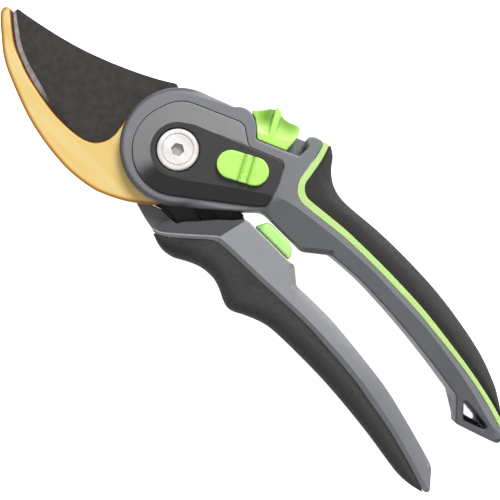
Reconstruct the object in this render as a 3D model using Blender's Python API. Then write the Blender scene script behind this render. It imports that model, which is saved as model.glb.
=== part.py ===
"""Bypass pruner, closed and locked, lying on its back.

World frame, metres: the pivot axis is Z, the rest plane is z = 0, the blades point to +Y,
the fixed upper handle runs to -Y on the +X side and the moving lower handle on the -X side.
The helpers take millimetres, because a hand tool is drawn in millimetres.
"""

import math

import bmesh
import bpy

MM = 0.001

# Driving dimensions, millimetres
FIT = 0.3  # play between a piece and the pocket that holds it
HAIR = 0.2  # play between neighbours that are glued or moulded together
HOUSING_CENTRE = (1.0, 0.9)
HOUSING_RADIUS = 20.0

# Levels along Z, millimetres from the surface that the tool lies on
REAR_COVER_TOP = 2.4
SHELL_BOTTOM = 1.2
REAR_RECESS = 2.6
SPRING_FLOOR = 4.4
BLADE_ROOM = (7.5, 12.1)
BLADE = (8.2, 11.2)
SPLIT = 10.2
HOOK = (12.3, 15.4)
HOOK_ROOM = (12.0, 15.7)
SHELL_TOP = 20.4
HANDLE_TOP = 19.6
FRONT_RECESS = 19.4
FACET_TOP = 20.9
COVER_TOP = 22.0
GRIP_TOP = 20.8
LOWER_SPLIT = 11.9
TONGUE = (5.0, 16.0)
BAND = (0.8, 20.2)
BUMPER = (4.5, 16.5)
BUMPER_PEG = (7.0, 14.0)
CARRIER = (3.0, 7.9)
WING = (7.7, 11.4)
SLIDER = (10.6, 18.2)
SLIDE_STEP = 9.2
LATCH = (8.1, 9.7)
SWITCH_CAP = (22.2, 23.6)
OPENING_STOP = (16.8, 19.1)
STOP_ROOM_FLOOR = 16.5
HOOK_RIVET_TOP = 18.5
TANG_RIVET = (4.4, 15.4)
BOLT_HEAD = (20.15, 22.6)
HEX_FLOOR = 21.0
BOLT_END = 1.6
NUT_CROWN = 1.35
NUT_TOP = 3.2
BUSH = (3.5, 19.3)
FRONT_WASHER = (19.6, 20.0)
THRUST_WASHER = (11.4, 12.1)
REAR_WASHER = (7.65, 8.05)
SPRING_LOW = 5.2
SPRING_RISE = 1.7
SPRING_LEG_TOP = 10.4
BELOW = -10.0  # where a cutter that passes right through starts and ends
ABOVE = 40.0

# Pivot stack radii
SHANK_RADIUS = 4.0
BUSH_INNER = 4.2
BUSH_OUTER = 5.1
BORE_RADIUS = 5.4
BOLT_HEAD_RADIUS = 7.0
HEAD_HOLE_RADIUS = 7.4
SPRING_RADIUS = 8.0
SPRING_WIRE = 1.2
SPRING_ROOM_RADIUS = 9.9
HUB_RADIUS = 14.0
HUB_ROOM_RADIUS = 15.6
RIVET_RADIUS = 1.9
RIVET_HOLE = 2.1

# Thumb lock and opening switch
LOCK_TRAVEL = 2.6
LOCK_WAY = (0.377, -0.926)
SWITCH_TRAVEL = 4.5
SWITCH_WAY = (-0.469, 0.883)
SWITCH_ENDS = ((9.0, -16.0), (12.85, -23.25))
SWITCH_RADIUS = 4.7
STEM_RADIUS = 1.5
STEM_SLOT_RADIUS = 1.9
STOP_RADIUS = 3.2
STOP_ROOM_RADIUS = 3.6

# Screws and moulded details
SCREW_HEAD_RADIUS = 2.2
SCREW_SHANK_RADIUS = 1.3
COUNTERBORE_RADIUS = 2.5
PILOT_RADIUS = 1.6
SCREW_SEAT = 4.0
HOUSING_SCREW_SEAT = 4.6  # the two screws beside the pivot sit deeper
SCREW_END = 16.0
GRIP_ROUND = 2.0  # how far a grip's rounded edges reach in
GRIP_POINTS = 44  # points along each side of a grip
COVER_PLAY = 0.25

ROUND_STEPS = 32
SCREW_STEPS = 16


# Outlines ---------------------------------------------------------------------------------


def arc(centre, radius, start, end, steps):
    """Points on a circle from one angle to another, in degrees."""
    points = []
    for i in range(steps + 1):
        angle = math.radians(start + (end - start) * i / steps)
        points.append((centre[0] + radius * math.cos(angle), centre[1] + radius * math.sin(angle)))
    return points


def circle(centre, radius, steps=ROUND_STEPS):
    return arc(centre, radius, 0, 360 * (steps - 1) / steps, steps - 1)


def curve(points, steps=2):
    """A smooth curve through the points, ends included."""
    first = (2 * points[0][0] - points[1][0], 2 * points[0][1] - points[1][1])
    last = (2 * points[-1][0] - points[-2][0], 2 * points[-1][1] - points[-2][1])
    padded = [first, *points, last]
    found = []
    for i in range(1, len(padded) - 2):
        a, b, c, d = padded[i - 1 : i + 3]
        for j in range(steps):
            t = j / steps
            found.append(
                tuple(
                    0.5
                    * (
                        2 * b[k]
                        + (c[k] - a[k]) * t
                        + (2 * a[k] - 5 * b[k] + 4 * c[k] - d[k]) * t**2
                        + (3 * b[k] - a[k] - 3 * c[k] + d[k]) * t**3
                    )
                    for k in (0, 1)
                )
            )
    return [*found, points[-1]]


def along(points, count):
    """The same chain with this many points, evenly spaced along it."""
    reach = [0.0]
    for a, b in zip(points, points[1:]):
        reach.append(reach[-1] + math.dist(a, b))
    found = []
    segment = 0
    for i in range(count):
        goal = reach[-1] * i / (count - 1)
        while segment < len(points) - 2 and reach[segment + 1] < goal:
            segment += 1
        part = (goal - reach[segment]) / (reach[segment + 1] - reach[segment])
        a, b = points[segment], points[segment + 1]
        found.append((a[0] + (b[0] - a[0]) * part, a[1] + (b[1] - a[1]) * part))
    return found


def between(chain_a, chain_b, share, count=20):
    """A chain that runs between two others, at this share of the way from a to b."""
    pairs = zip(along(chain_a, count), along(chain_b, count))
    return [(a[0] + (b[0] - a[0]) * share, a[1] + (b[1] - a[1]) * share) for a, b in pairs]


def area(outline):
    ends = zip(outline, outline[1:] + outline[:1])
    return sum(a[0] * b[1] - b[0] * a[1] for a, b in ends) / 2


def grow(outline, distance):
    """The outline moved outwards by the distance, or inwards where it is negative.

    The distance may be a list, one for each point.
    """
    distances = distance if isinstance(distance, list) else [distance] * len(outline)
    side = 1 if area(outline) > 0 else -1
    found = []
    for i, point in enumerate(outline):
        before = outline[i - 1]
        after = outline[(i + 1) % len(outline)]
        one = unit((point[0] - before[0], point[1] - before[1]))
        two = unit((after[0] - point[0], after[1] - point[1]))
        normal = unit((one[1] + two[1], -one[0] - two[0]))
        reach = distances[i] / max(0.5, normal[0] * one[1] - normal[1] * one[0])
        found.append((point[0] + side * reach * normal[0], point[1] + side * reach * normal[1]))
    return found


def unit(vector):
    length = math.hypot(*vector)
    return (vector[0] / length, vector[1] / length)


def stadium(a, b, radius, steps=10):
    """A slot outline round two end centres."""
    heading = math.degrees(math.atan2(b[1] - a[1], b[0] - a[0]))
    ahead = arc(b, radius, heading - 90, heading + 90, steps)
    return ahead + arc(a, radius, heading + 90, heading + 270, steps)


def shifted(point, way, distance):
    return (point[0] + way[0] * distance, point[1] + way[1] * distance)


# Objects ----------------------------------------------------------------------------------


def clear_scene():
    for thing in list(bpy.data.objects):
        bpy.data.objects.remove(thing, do_unlink=True)


def paint(name, colour, roughness, metallic=0.0):
    """A Principled BSDF material of the sub-part's colour and finish."""
    made = bpy.data.materials.new(name)
    made.use_nodes = True
    shader = made.node_tree.nodes["Principled BSDF"]
    shader.inputs["Base Color"].default_value = (*colour, 1.0)
    shader.inputs["Roughness"].default_value = roughness
    shader.inputs["Metallic"].default_value = metallic
    return made


def grey_plastic(name):
    return paint(name, (0.21, 0.21, 0.22), 0.45)


def soft_grip(name):
    return paint(name, (0.055, 0.055, 0.055), 0.75)


def green_plastic(name):
    return paint(name, (0.50, 0.93, 0.22), 0.4)


def bright_steel(name):
    return paint(name, (0.75, 0.72, 0.68), 0.22, 1.0)


def add_object(name, vertices, faces, material):
    mesh = bpy.data.meshes.new(name)
    mesh.from_pydata([(x * MM, y * MM, z * MM) for x, y, z in vertices], [], faces)
    made = bmesh.new()
    made.from_mesh(mesh)
    bmesh.ops.recalc_face_normals(made, faces=made.faces)
    if made.calc_volume(signed=True) < 0:
        bmesh.ops.reverse_faces(made, faces=made.faces)
    made.to_mesh(mesh)
    made.free()
    thing = bpy.data.objects.new(name, mesh)
    bpy.context.scene.collection.objects.link(thing)
    if material is not None:
        mesh.materials.append(material)
    return thing


def rings(name, layers, material):
    """A solid through a stack of outlines: layers is [(outline, z)], the same points in each."""
    count = len(layers[0][0])
    vertices = [(x, y, z) for outline, z in layers for x, y in outline]
    faces = [tuple(range(count)), tuple(range((len(layers) - 1) * count, len(layers) * count))]
    for level in range(len(layers) - 1):
        for i in range(count):
            j = (i + 1) % count
            low = level * count
            faces.append((low + i, low + j, low + count + j, low + count + i))
    return add_object(name, vertices, faces, material)


def slab(name, outline, bottom, top, material=None, chamfer=0.0):
    """An extruded outline, with its front and rear edges chamfered where asked."""
    if chamfer == 0.0:
        return rings(name, [(outline, bottom), (outline, top)], material)
    small = grow(outline, -chamfer)
    layers = [(small, bottom), (outline, bottom + chamfer), (outline, top - chamfer), (small, top)]
    return rings(name, layers, material)


def soft_side(name, edge, outer, gap, material):
    """A soft grip between its shell's edge and the palm, rounded less where it is narrow."""
    edge = along(edge, GRIP_POINTS)
    outer = along(outer, GRIP_POINTS)
    outline = grow(edge + outer[::-1], -gap)
    widths = [math.dist(a, b) for a, b in zip(outline, outline[::-1])]
    layers = []
    for inset, rise in ((1.0, 0.0), (0.3, 0.35), (0.0, 1.0)):
        ring_outline = grow(outline, [-inset * min(GRIP_ROUND, 0.3 * width) for width in widths])
        layers.append((ring_outline, rise * GRIP_ROUND))
    layers += [(ring_outline, GRIP_TOP - z) for ring_outline, z in layers[::-1]]
    return rings(name, layers, material)


def turned(name, profile, at, material=None, steps=ROUND_STEPS):
    """A round piece about a line parallel to Z: profile is [(radius, z)], a closed section."""
    vertices = []
    columns = []
    for radius, z in profile:
        if radius == 0:
            columns.append([len(vertices)] * steps)
            vertices.append((at[0], at[1], z))
            continue
        columns.append([len(vertices) + i for i in range(steps)])
        vertices += [(x, y, z) for x, y in circle(at, radius, steps)]
    faces = []
    for one, two in zip(columns, columns[1:] + columns[:1]):
        for i in range(steps):
            j = (i + 1) % steps
            corners = dict.fromkeys((one[i], one[j], two[j], two[i]))
            if len(corners) > 2:
                faces.append(tuple(corners))
    made = add_object(name, vertices, faces, material)
    made.data.shade_smooth()
    made.data.set_sharp_from_angle(angle=math.radians(40))
    return made


def rod(name, at, radius, bottom, top, material=None, steps=SCREW_STEPS):
    return turned(name, [(0, bottom), (radius, bottom), (radius, top), (0, top)], at, material, steps)


def ring(name, at, inner, outer, bottom, top, material):
    profile = [(inner, bottom), (outer, bottom), (outer, top), (inner, top)]
    return turned(name, profile, at, material)


def tube(name, path, radius, sides, material):
    """A round wire along a path of 3-D points, with flat ends."""
    vertices = []
    for i, point in enumerate(path):
        before = path[max(i - 1, 0)]
        after = path[min(i + 1, len(path) - 1)]
        way = [after[k] - before[k] for k in range(3)]
        length = math.sqrt(sum(v * v for v in way))
        way = [v / length for v in way]
        flat = math.hypot(way[0], way[1])
        side = (way[1] / flat, -way[0] / flat, 0.0) if flat > 0.2 else (1.0, 0.0, 0.0)
        dot = sum(side[k] * way[k] for k in range(3))
        side = [side[k] - dot * way[k] for k in range(3)]
        size = math.sqrt(sum(v * v for v in side))
        side = [v / size for v in side]
        up = [
            way[1] * side[2] - way[2] * side[1],
            way[2] * side[0] - way[0] * side[2],
            way[0] * side[1] - way[1] * side[0],
        ]
        for j in range(sides):
            turn = 2 * math.pi * j / sides
            vertices.append(
                tuple(
                    point[k] + radius * (math.cos(turn) * side[k] + math.sin(turn) * up[k])
                    for k in range(3)
                )
            )
    last = (len(path) - 1) * sides
    faces = [tuple(range(sides)), tuple(range(last, last + sides))]
    for i in range(len(path) - 1):
        for j in range(sides):
            k = (j + 1) % sides
            faces.append((i * sides + j, i * sides + k, (i + 1) * sides + k, (i + 1) * sides + j))
    return add_object(name, vertices, faces, material)


def boolean(thing, tool, operation):
    """Cuts the tool from the thing, or joins it on; the tool itself is a hidden helper."""
    tool.hide_render = True
    tool.display_type = "WIRE"
    modifier = thing.modifiers.new(f"{operation.lower()}_{tool.name}", "BOOLEAN")
    modifier.object = tool
    modifier.operation = operation
    modifier.solver = "EXACT"


def cut(thing, *tools):
    for tool in tools:
        boolean(thing, tool, "DIFFERENCE")


def join(thing, *tools):
    for tool in tools:
        boolean(thing, tool, "UNION")


def guide(name, at, pieces):
    """An empty on a joint, which its moving pieces are parented to."""
    empty = bpy.data.objects.new(name, None)
    empty.location = (at[0] * MM, at[1] * MM, at[2] * MM)
    bpy.context.scene.collection.objects.link(empty)
    bpy.context.view_layer.update()
    for piece in pieces:
        piece.parent = empty
        piece.matrix_parent_inverse = empty.matrix_world.inverted()


# Shared chains of the two handles ---------------------------------------------------------

UPPER_INNER = [
    (0.0, -28.5),
    (4.0, -32.5),
    (5.3, -34.6),
    (5.6, -37.0),
    (5.6, -53.9),
    *curve([(11.7, -61.4), (12.4, -78.0), (11.6, -93.4), (10.0, -109.1), (7.8, -124.1)]),
    (1.2, -131.7),
]
UPPER_TAIL = [(3.2, -137.5), (5.0, -142.6), (6.0, -145.4), (7.2, -145.9), (9.2, -144.2)]
BAND_LEFT = curve(
    [
        (36.4, -32.2),
        (30.0, -34.2),
        (21.5, -35.6),
        (18.0, -38.2),
        (16.9, -43.0),
        (17.9, -53.0),
        (18.8, -64.0),
        (18.9, -78.0),
        (18.3, -95.0),
        (16.5, -112.5),
        (13.9, -128.5),
        (10.2, -142.0),
    ]
)
BAND_RIGHT = curve(
    [
        (36.8, -34.7),
        (30.0, -36.7),
        (22.5, -37.9),
        (20.0, -40.0),
        (19.4, -43.4),
        (20.4, -53.0),
        (21.1, -64.0),
        (21.2, -78.0),
        (20.6, -95.0),
        (18.4, -112.5),
        (15.8, -128.5),
        (12.2, -141.8),
    ]
)
UPPER_OUTER = curve(
    [
        (37.0, -35.0),
        (35.3, -37.8),
        (30.2, -42.9),
        (27.6, -49.0),
        (27.6, -56.5),
        (28.8, -69.4),
        (28.9, -80.6),
        (28.0, -97.0),
        (25.4, -113.0),
        (21.6, -126.5),
        (16.6, -135.1),
        (12.7, -140.8),
    ]
)
LOWER_GRIP_EDGE = curve(
    [
        (-25.2, -14.4),
        (-19.0, -22.5),
        (-13.4, -29.0),
        (-12.1, -33.0),
        (-11.6, -50.0),
        (-10.9, -70.0),
        (-11.8, -89.0),
        (-14.2, -105.5),
        (-18.5, -125.0),
        (-22.9, -138.2),
    ]
)
LOWER_OUTER = curve(
    [
        (-25.9, -13.5),
        (-27.7, -20.0),
        (-24.0, -29.2),
        (-22.1, -36.4),
        (-25.1, -45.6),
        (-25.7, -50.6),
        (-21.0, -61.8),
        (-20.1, -76.0),
        (-21.2, -100.0),
        (-23.2, -119.0),
        (-24.8, -130.0),
        (-23.3, -138.5),
    ]
)
LOWER_TAIL = [(-22.4, -140.2), (-21.5, -140.5), (-19.9, -139.2), (-14.8, -134.7)]
LOWER_INNER = [
    *curve([(-14.4, -133.5), (-9.5, -116.0), (-5.6, -95.0), (-3.9, -77.0), (-4.0, -60.5)]),
    (0.4, -54.8),
    (-0.2, -52.5),
    (-0.2, -33.0),
]
LOWER_HEAD = [
    (-1.0, -31.5),
    (-4.0, -29.0),
    (-7.0, -25.6),
    (-13.0, -20.4),
    (-16.0, -17.5),
    (-18.0, -16.7),
]
COVER_OUTLINE = [
    *arc((0.0, 0.0), 15.1, 62, 214, 14),
    (0.0, -25.0),
    (5.0, -31.0),
    (6.4, -33.0),
    (8.4, -33.7),
    (15.0, -31.7),
    (21.0, -28.6),
    (21.9, -27.2),
    (21.5, -25.5),
    (17.6, -16.8),
    (17.7, -15.6),
    (21.3, -10.0),
    (21.2, -8.2),
    (14.3, 8.4),
    (12.6, 10.5),
]
PLATEAU_OUTLINE = [
    *arc((0.0, 0.0), 9.2, 44, 216, 12),
    (-5.0, -9.5),
    (0.0, -16.0),
    (5.0, -23.0),
    (10.3, -31.0),
    (19.0, -27.6),
    (20.4, -25.4),
    (16.2, -16.4),
    (10.0, 1.5),
]
BLADE_SWEEP = [
    (32.0, 5.0),
    (30.0, 34.0),
    (-34.0, 34.0),
    (-34.0, -34.0),
    (0.8, -34.0),
    (0.8, -29.5),
    *arc((0.0, 0.0), HUB_ROOM_RADIUS, -80, 6, 12),
]
SCREWS_UPPER = ((19.0, -2.6), (13.5, -29.5), (15.5, -68.0), (12.9, -114.0))
SCREWS_LOWER = ((-8.0, -58.0), (-8.0, -84.0), (-14.35, -122.0))
TANG_RIVETS = ((-7.2, -36.5), (-7.0, -45.0))
HOOK_RIVETS = ((8.2, 8.6), (5.2, -11.0))


def upper_outline(right_side):
    """The upper handle in plan, up to its green band; right_side differs front and rear."""
    housing = arc(HOUSING_CENTRE, HOUSING_RADIUS, 16, 216, 22)
    return housing + UPPER_INNER + UPPER_TAIL + BAND_LEFT[::-1] + right_side


def tongue(edge, outer):
    """The core that a grip is moulded over, from inside the shell to the middle of the grip."""
    inside = between(edge, outer, -0.25)[4:-2]
    middle = between(edge, outer, 0.55)[4:-2]
    return inside + middle[::-1]


UPPER_TONGUE = tongue(BAND_LEFT, UPPER_OUTER)
LOWER_TONGUE = tongue(LOWER_GRIP_EDGE, LOWER_OUTER)


def screw(name, at, seat, top):
    """A pan head screw put in from behind, with its drive recess and its plain thread."""
    profile = [
        (0, seat - 0.9),
        (1.0, seat - 0.9),
        (1.0, seat - 1.7),
        (SCREW_HEAD_RADIUS - 0.4, seat - 1.7),
        (SCREW_HEAD_RADIUS, seat - 1.3),
        (SCREW_HEAD_RADIUS, seat),
        (SCREW_SHANK_RADIUS, seat),
        (SCREW_SHANK_RADIUS, top - 1.0),
        (0.6, top),
        (0, top),
    ]
    return turned(name, profile, at, bright_steel(name), SCREW_STEPS)


def screw_holes(rear, front, name, at, seat, top):
    """The counterbore and clearance hole behind, and the blind pilot hole in front."""
    stepped = [
        (0, BELOW),
        (COUNTERBORE_RADIUS, BELOW),
        (COUNTERBORE_RADIUS, seat + 0.1),
        (PILOT_RADIUS, seat + 0.1),
        (PILOT_RADIUS, top + 0.4),
        (0, top + 0.4),
    ]
    hole = turned(f"cut_{name}", stepped, at, None, SCREW_STEPS)
    cut(rear, hole)
    cut(front, hole)


# Upper handle -----------------------------------------------------------------------------


def make_upper_handle():
    grey = grey_plastic("upper_shell")
    bump = [(36.2, -31.0), (35.4, -28.8), (34.0, -27.6), (32.5, -27.4), (31.9, -28.6), (31.7, -30.1)]
    shoulder = [(25.0, -11.5), (26.4, -7.8), (25.8, -5.4), (24.4, -3.5), (23.5, -3.0)]
    notch = [(27.0, -30.1), (25.0, -25.0), (20.9, -15.7), (23.0, -14.0)]
    ledge = [(31.3, -25.4), (28.6, -17.0), (26.7, -9.4)]
    front_outline = upper_outline(bump + notch + shoulder)
    front = slab("upper_shell_front", front_outline, SPLIT + 0.1, SHELL_TOP, grey)
    rear_side = bump[:4] + ledge + shoulder[1:]
    rear = slab("upper_shell_rear", upper_outline(rear_side), SHELL_BOTTOM, SPLIT - 0.1, grey)
    join(front, slab("join_tongue_front", UPPER_TONGUE, SPLIT + FIT, TONGUE[1]))
    join(rear, slab("join_tongue_rear", UPPER_TONGUE, TONGUE[0], SPLIT - FIT))

    handle_plan = [(-5, -34.2), (60, -30.6), (60, -160), (-5, -160)]
    cut(front, slab("cut_handle_top", handle_plan, HANDLE_TOP, ABOVE))
    blade_room = slab("cut_blade_room", BLADE_SWEEP, *BLADE_ROOM)
    cut(front, blade_room)
    cut(rear, blade_room)
    cut(front, slab("cut_hook_room", grow(hook_outline(), FIT), *HOOK_ROOM))
    cover_room = grow(COVER_OUTLINE, COVER_PLAY)
    cut(front, slab("cut_front_recess", cover_room, FRONT_RECESS, ABOVE))
    cut(rear, slab("cut_rear_recess", cover_room, BELOW, REAR_RECESS))
    cut(front, rod("cut_front_bore", (0, 0), BORE_RADIUS, SPLIT - 5, ABOVE, None, ROUND_STEPS))
    stepped_bore = [
        (0, BELOW),
        (BOLT_HEAD_RADIUS + FIT, BELOW),
        (BOLT_HEAD_RADIUS + FIT, NUT_TOP + HAIR),
        (BORE_RADIUS, NUT_TOP + HAIR),
        (BORE_RADIUS, SPRING_FLOOR),
        (SPRING_ROOM_RADIUS, SPRING_FLOOR),
        (SPRING_ROOM_RADIUS, BLADE_ROOM[1]),
        (0, BLADE_ROOM[1]),
    ]
    cut(rear, turned("cut_rear_bore", stepped_bore, (0, 0)))
    spring_slot = stadium((5.4, -6.0), (12.4, -9.9), 1.3, 6)
    cut(rear, slab("cut_spring_slot", spring_slot, SPRING_FLOOR, BLADE_ROOM[1]))
    slide_plan = [(29.8, -31.0), (23.6, -6.0), (34.0, -8.0), (40.0, -27.2)]
    cut(rear, slab("cut_slide_step", slide_plan, SLIDE_STEP, ABOVE))
    for number, at in enumerate(HOOK_RIVETS, 1):
        cut(front, rod(f"cut_hook_rivet_{number}", at, RIVET_HOLE, SPLIT - 1, HOOK_RIVET_TOP + HAIR))
    for number, at in enumerate(SCREWS_UPPER, 1):
        seat = HOUSING_SCREW_SEAT if number < 3 else SCREW_SEAT
        screw(f"upper_screw_{number}", at, seat, SCREW_END)
        screw_holes(rear, front, f"upper_screw_{number}", at, seat, SCREW_END)

    hang_hole = [(8.9, -127.7), (8.2, -127.3), (4.1, -131.6), (3.9, -132.6)]
    hang_hole += [(6.3, -138.7), (7.2, -138.9), (8.0, -137.6)]
    hole = slab("cut_hang_hole", hang_hole, BELOW, ABOVE)
    cut(front, hole)
    cut(rear, hole)

    core = slab("cut_upper_tongue", grow(UPPER_TONGUE, HAIR), TONGUE[0] - HAIR, TONGUE[1] + HAIR)
    band_outline = grow(BAND_LEFT + BAND_RIGHT[::-1], -HAIR)
    band = slab("accent_band", band_outline, *BAND, green_plastic("accent_band"))
    cut(band, core)
    grip = soft_side("upper_grip", BAND_RIGHT, UPPER_OUTER, HAIR / 2, soft_grip("upper_grip"))
    cut(grip, core)
    return front, rear


def make_covers(front_shell):
    """The front cover carries the raised plateau and the switch; the rear one is plain."""
    dark = paint("covers", (0.04, 0.04, 0.04), 0.35)
    front = slab("cover_front", COVER_OUTLINE, FRONT_RECESS + 0.2, FACET_TOP, dark)
    join(front, slab("join_plateau", PLATEAU_OUTLINE, FACET_TOP - 0.6, COVER_TOP))
    cut(front, rod("cut_bolt_head", (0, 0), HEAD_HOLE_RADIUS, SPLIT, ABOVE, None, ROUND_STEPS))
    far_end = shifted(switch_centre(), SWITCH_WAY, SWITCH_TRAVEL)
    stem_room = stadium(switch_centre(), far_end, STEM_SLOT_RADIUS, 6)
    cut(front, slab("cut_stem_slot", stem_room, SPLIT, ABOVE))
    stop_room = stadium(
        shifted(switch_centre(), SWITCH_WAY, -1.0),
        shifted(switch_centre(), SWITCH_WAY, SWITCH_TRAVEL + 1.0),
        STOP_ROOM_RADIUS,
        8,
    )
    cut(front_shell, slab("cut_stop_room", stop_room, STOP_ROOM_FLOOR, ABOVE))
    rear = slab("cover_rear", COVER_OUTLINE, 0.0, REAR_COVER_TOP, dark)
    cut(rear, rod("cut_nut_hole", (0, 0), HEAD_HOLE_RADIUS, BELOW, ABOVE, None, ROUND_STEPS))


def hook_outline():
    """The fixed hook: a crescent that the blade passes, and the disc that the shells clamp."""
    outer = curve(
        [
            (-7.0, 76.6),
            (-10.7, 75.2),
            (-18.7, 66.0),
            (-23.7, 55.7),
            (-28.0, 44.1),
            (-30.3, 32.8),
            (-31.0, 22.0),
            (-29.4, 11.2),
            (-25.4, 2.4),
            (-18.3, -7.1),
        ]
    )
    inner = curve(
        [
            (-8.9, 20.3),
            (-15.3, 20.8),
            (-19.7, 26.0),
            (-20.8, 34.7),
            (-20.0, 44.7),
            (-17.7, 55.3),
            (-14.0, 64.7),
            (-8.7, 72.0),
            (-6.0, 75.2),
        ]
    )
    return outer + [(-16.8, -7.5)] + arc((0.0, 0.0), 14.5, 220, 430, 16) + inner


def make_hook():
    gold = paint("hook_blade", (0.88, 0.64, 0.22), 0.32, 0.6)
    hook = slab("hook_blade", hook_outline(), *HOOK, gold)
    cut(hook, rod("cut_hook_bore", (0, 0), BORE_RADIUS, BELOW, ABOVE, None, ROUND_STEPS))
    for number, at in enumerate(HOOK_RIVETS, 1):
        cut(hook, rod(f"cut_hook_hole_{number}", at, RIVET_HOLE, BELOW, ABOVE))
        name = f"hook_rivet_{number}"
        rod(name, at, RIVET_RADIUS, HOOK[0] + 0.1, HOOK_RIVET_TOP, bright_steel(name))


def make_pivot():
    """Bolt, cap nut, bush and washers, all turned about the pivot axis."""
    axis = (0.0, 0.0)
    head = [
        (0, BOLT_END),
        (SHANK_RADIUS - 0.6, BOLT_END),
        (SHANK_RADIUS, BOLT_END + 0.6),
        (SHANK_RADIUS, BOLT_HEAD[0]),
        (BOLT_HEAD_RADIUS, BOLT_HEAD[0]),
        (BOLT_HEAD_RADIUS, BOLT_HEAD[1] - 0.7),
        (BOLT_HEAD_RADIUS - 0.7, BOLT_HEAD[1]),
        (0, BOLT_HEAD[1]),
    ]
    bolt = turned("pivot_bolt", head, axis, bright_steel("pivot_bolt"))
    cut(bolt, rod("cut_hex_socket", axis, 2.9, HEX_FLOOR, ABOVE, None, 6))
    nut = [
        (0, 0.0),
        (BOLT_HEAD_RADIUS - 0.6, 0.0),
        (BOLT_HEAD_RADIUS, 0.6),
        (BOLT_HEAD_RADIUS, NUT_TOP),
        (BUSH_INNER, NUT_TOP),
        (BUSH_INNER, NUT_CROWN),
        (0, NUT_CROWN),
    ]
    turned("pivot_nut", nut, axis, bright_steel("pivot_nut"))
    bronze = paint("pivot_bush", (0.55, 0.36, 0.16), 0.35, 1.0)
    ring("pivot_bush", axis, BUSH_INNER, BUSH_OUTER, *BUSH, bronze)
    polished = bright_steel("front_washer")
    ring("front_washer", axis, BUSH_INNER, BOLT_HEAD_RADIUS, *FRONT_WASHER, polished)
    white = paint("slide_washers", (0.8, 0.8, 0.78), 0.5)
    ring("thrust_washer", axis, BORE_RADIUS, 9.4, *THRUST_WASHER, white)
    ring("rear_washer", axis, 10.5, 13.2, *REAR_WASHER, white)


def make_spring():
    """A torsion spring round the bush: one leg in the rear shell, one in the blade."""
    path = [(12.0, -9.6, SPRING_LOW), (9.2, -7.4, SPRING_LOW)]
    turns = 1.75
    steps = 34
    start = math.atan2(-6.4, 5.6)
    for i in range(steps + 1):
        angle = start - 2 * math.pi * turns * i / steps
        height = SPRING_LOW + SPRING_RISE * i / steps
        path.append((SPRING_RADIUS * math.cos(angle), SPRING_RADIUS * math.sin(angle), height))
    x, y, _ = path[-1]
    path += [(x, y, BLADE[0] + HAIR), (x, y, SPRING_LEG_TOP)]
    steel = paint("torsion_spring", (0.5, 0.5, 0.52), 0.3, 1.0)
    tube("torsion_spring", path, SPRING_WIRE / 2, 8, steel)
    return (x, y)


# Lower handle -----------------------------------------------------------------------------


def blade_outline():
    """The blade from its tip round the hub to the end of the tang inside the lower handle."""
    spine = curve([(-4.4, 74.9), (-3.0, 67.3), (-0.2, 55.1), (4.2, 41.8), (9.8, 29.1), (16.2, 17.8)])
    hub_right = arc((0.0, 0.0), HUB_RADIUS, 40, -96, 12)
    tang = [
        (-6.0, -17.6),
        (-6.9, -21.3),
        (-7.8, -25.0),
        (-6.0, -28.4),
        (-3.6, -33.0),
        (-3.6, -49.0),
        (-10.4, -49.0),
        (-10.8, -33.0),
        (-12.4, -26.0),
        (-11.2, -21.3),
        (-9.6, -16.6),
    ]
    hub_left = arc((0.0, 0.0), HUB_RADIUS, 228, 160, 6)
    edge = curve(
        [
            (-16.5, 9.0),
            (-21.2, 19.0),
            (-22.8, 29.0),
            (-22.2, 38.0),
            (-20.5, 46.9),
            (-18.0, 56.7),
            (-14.5, 65.4),
            (-6.9, 75.6),
        ]
    )
    return spine + hub_right + tang + hub_left + edge


def make_blade(spring_hole):
    steel = paint("cutting_blade", (0.075, 0.07, 0.068), 0.4, 0.8)
    blade = slab("cutting_blade", blade_outline(), *BLADE, steel)
    cut(blade, rod("cut_blade_bore", (0, 0), BORE_RADIUS, BELOW, ABOVE, None, ROUND_STEPS))
    cut(blade, rod("cut_spring_hole", spring_hole, 1.0, BELOW, ABOVE))
    rivets = []
    for number, at in enumerate(TANG_RIVETS, 1):
        cut(blade, rod(f"cut_tang_hole_{number}", at, RIVET_HOLE, BELOW, ABOVE))
        name = f"tang_rivet_{number}"
        rivets.append(rod(name, at, RIVET_RADIUS, *TANG_RIVET, bright_steel(name)))
    return [blade, *rivets]


def carrier_outline():
    """The black insert in the gap between the housing and the lower handle."""
    clear_of_housing = arc((0.0, 0.0), 20.9, 206, 222, 4)
    return clear_of_housing + [
        (-11.6, -17.4),
        (-0.9, -29.8),
        (-0.4, -31.2),
        (-2.4, -33.4),
        (-10.4, -31.6),
        (-15.2, -24.8),
        (-17.4, -19.6),
        (-17.7, -11.6),
    ]


# The carrier's two wings, which close the slot on either side of the blade's tang.
LEFT_WING = [
    *arc((0.0, 0.0), HUB_RADIUS + 0.6, 195, 228, 6),
    (-10.0, -16.6),
    (-11.5, -20.9),
    (-12.9, -19.9),
    (-15.9, -17.1),
    (-17.7, -16.3),
    (-17.7, -9.3),
    (-17.0, -6.5),
    (-15.6, -4.4),
]
RIGHT_WING = [
    (-1.0, -14.6),
    (-5.7, -18.0),
    (-6.5, -21.3),
    (-7.2, -24.7),
    (-4.2, -28.2),
    (-1.2, -30.9),
    (-0.2, -30.6),
    (0.2, -29.4),
    (1.8, -17.5),
    (1.4, -14.9),
]


def make_carrier():
    black = paint("blade_carrier", (0.02, 0.02, 0.02), 0.5)
    carrier = slab("blade_carrier", carrier_outline(), *CARRIER, black)
    join(carrier, slab("join_left_wing", LEFT_WING, *WING))
    join(carrier, slab("join_right_wing", RIGHT_WING, *WING))
    return carrier


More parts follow.
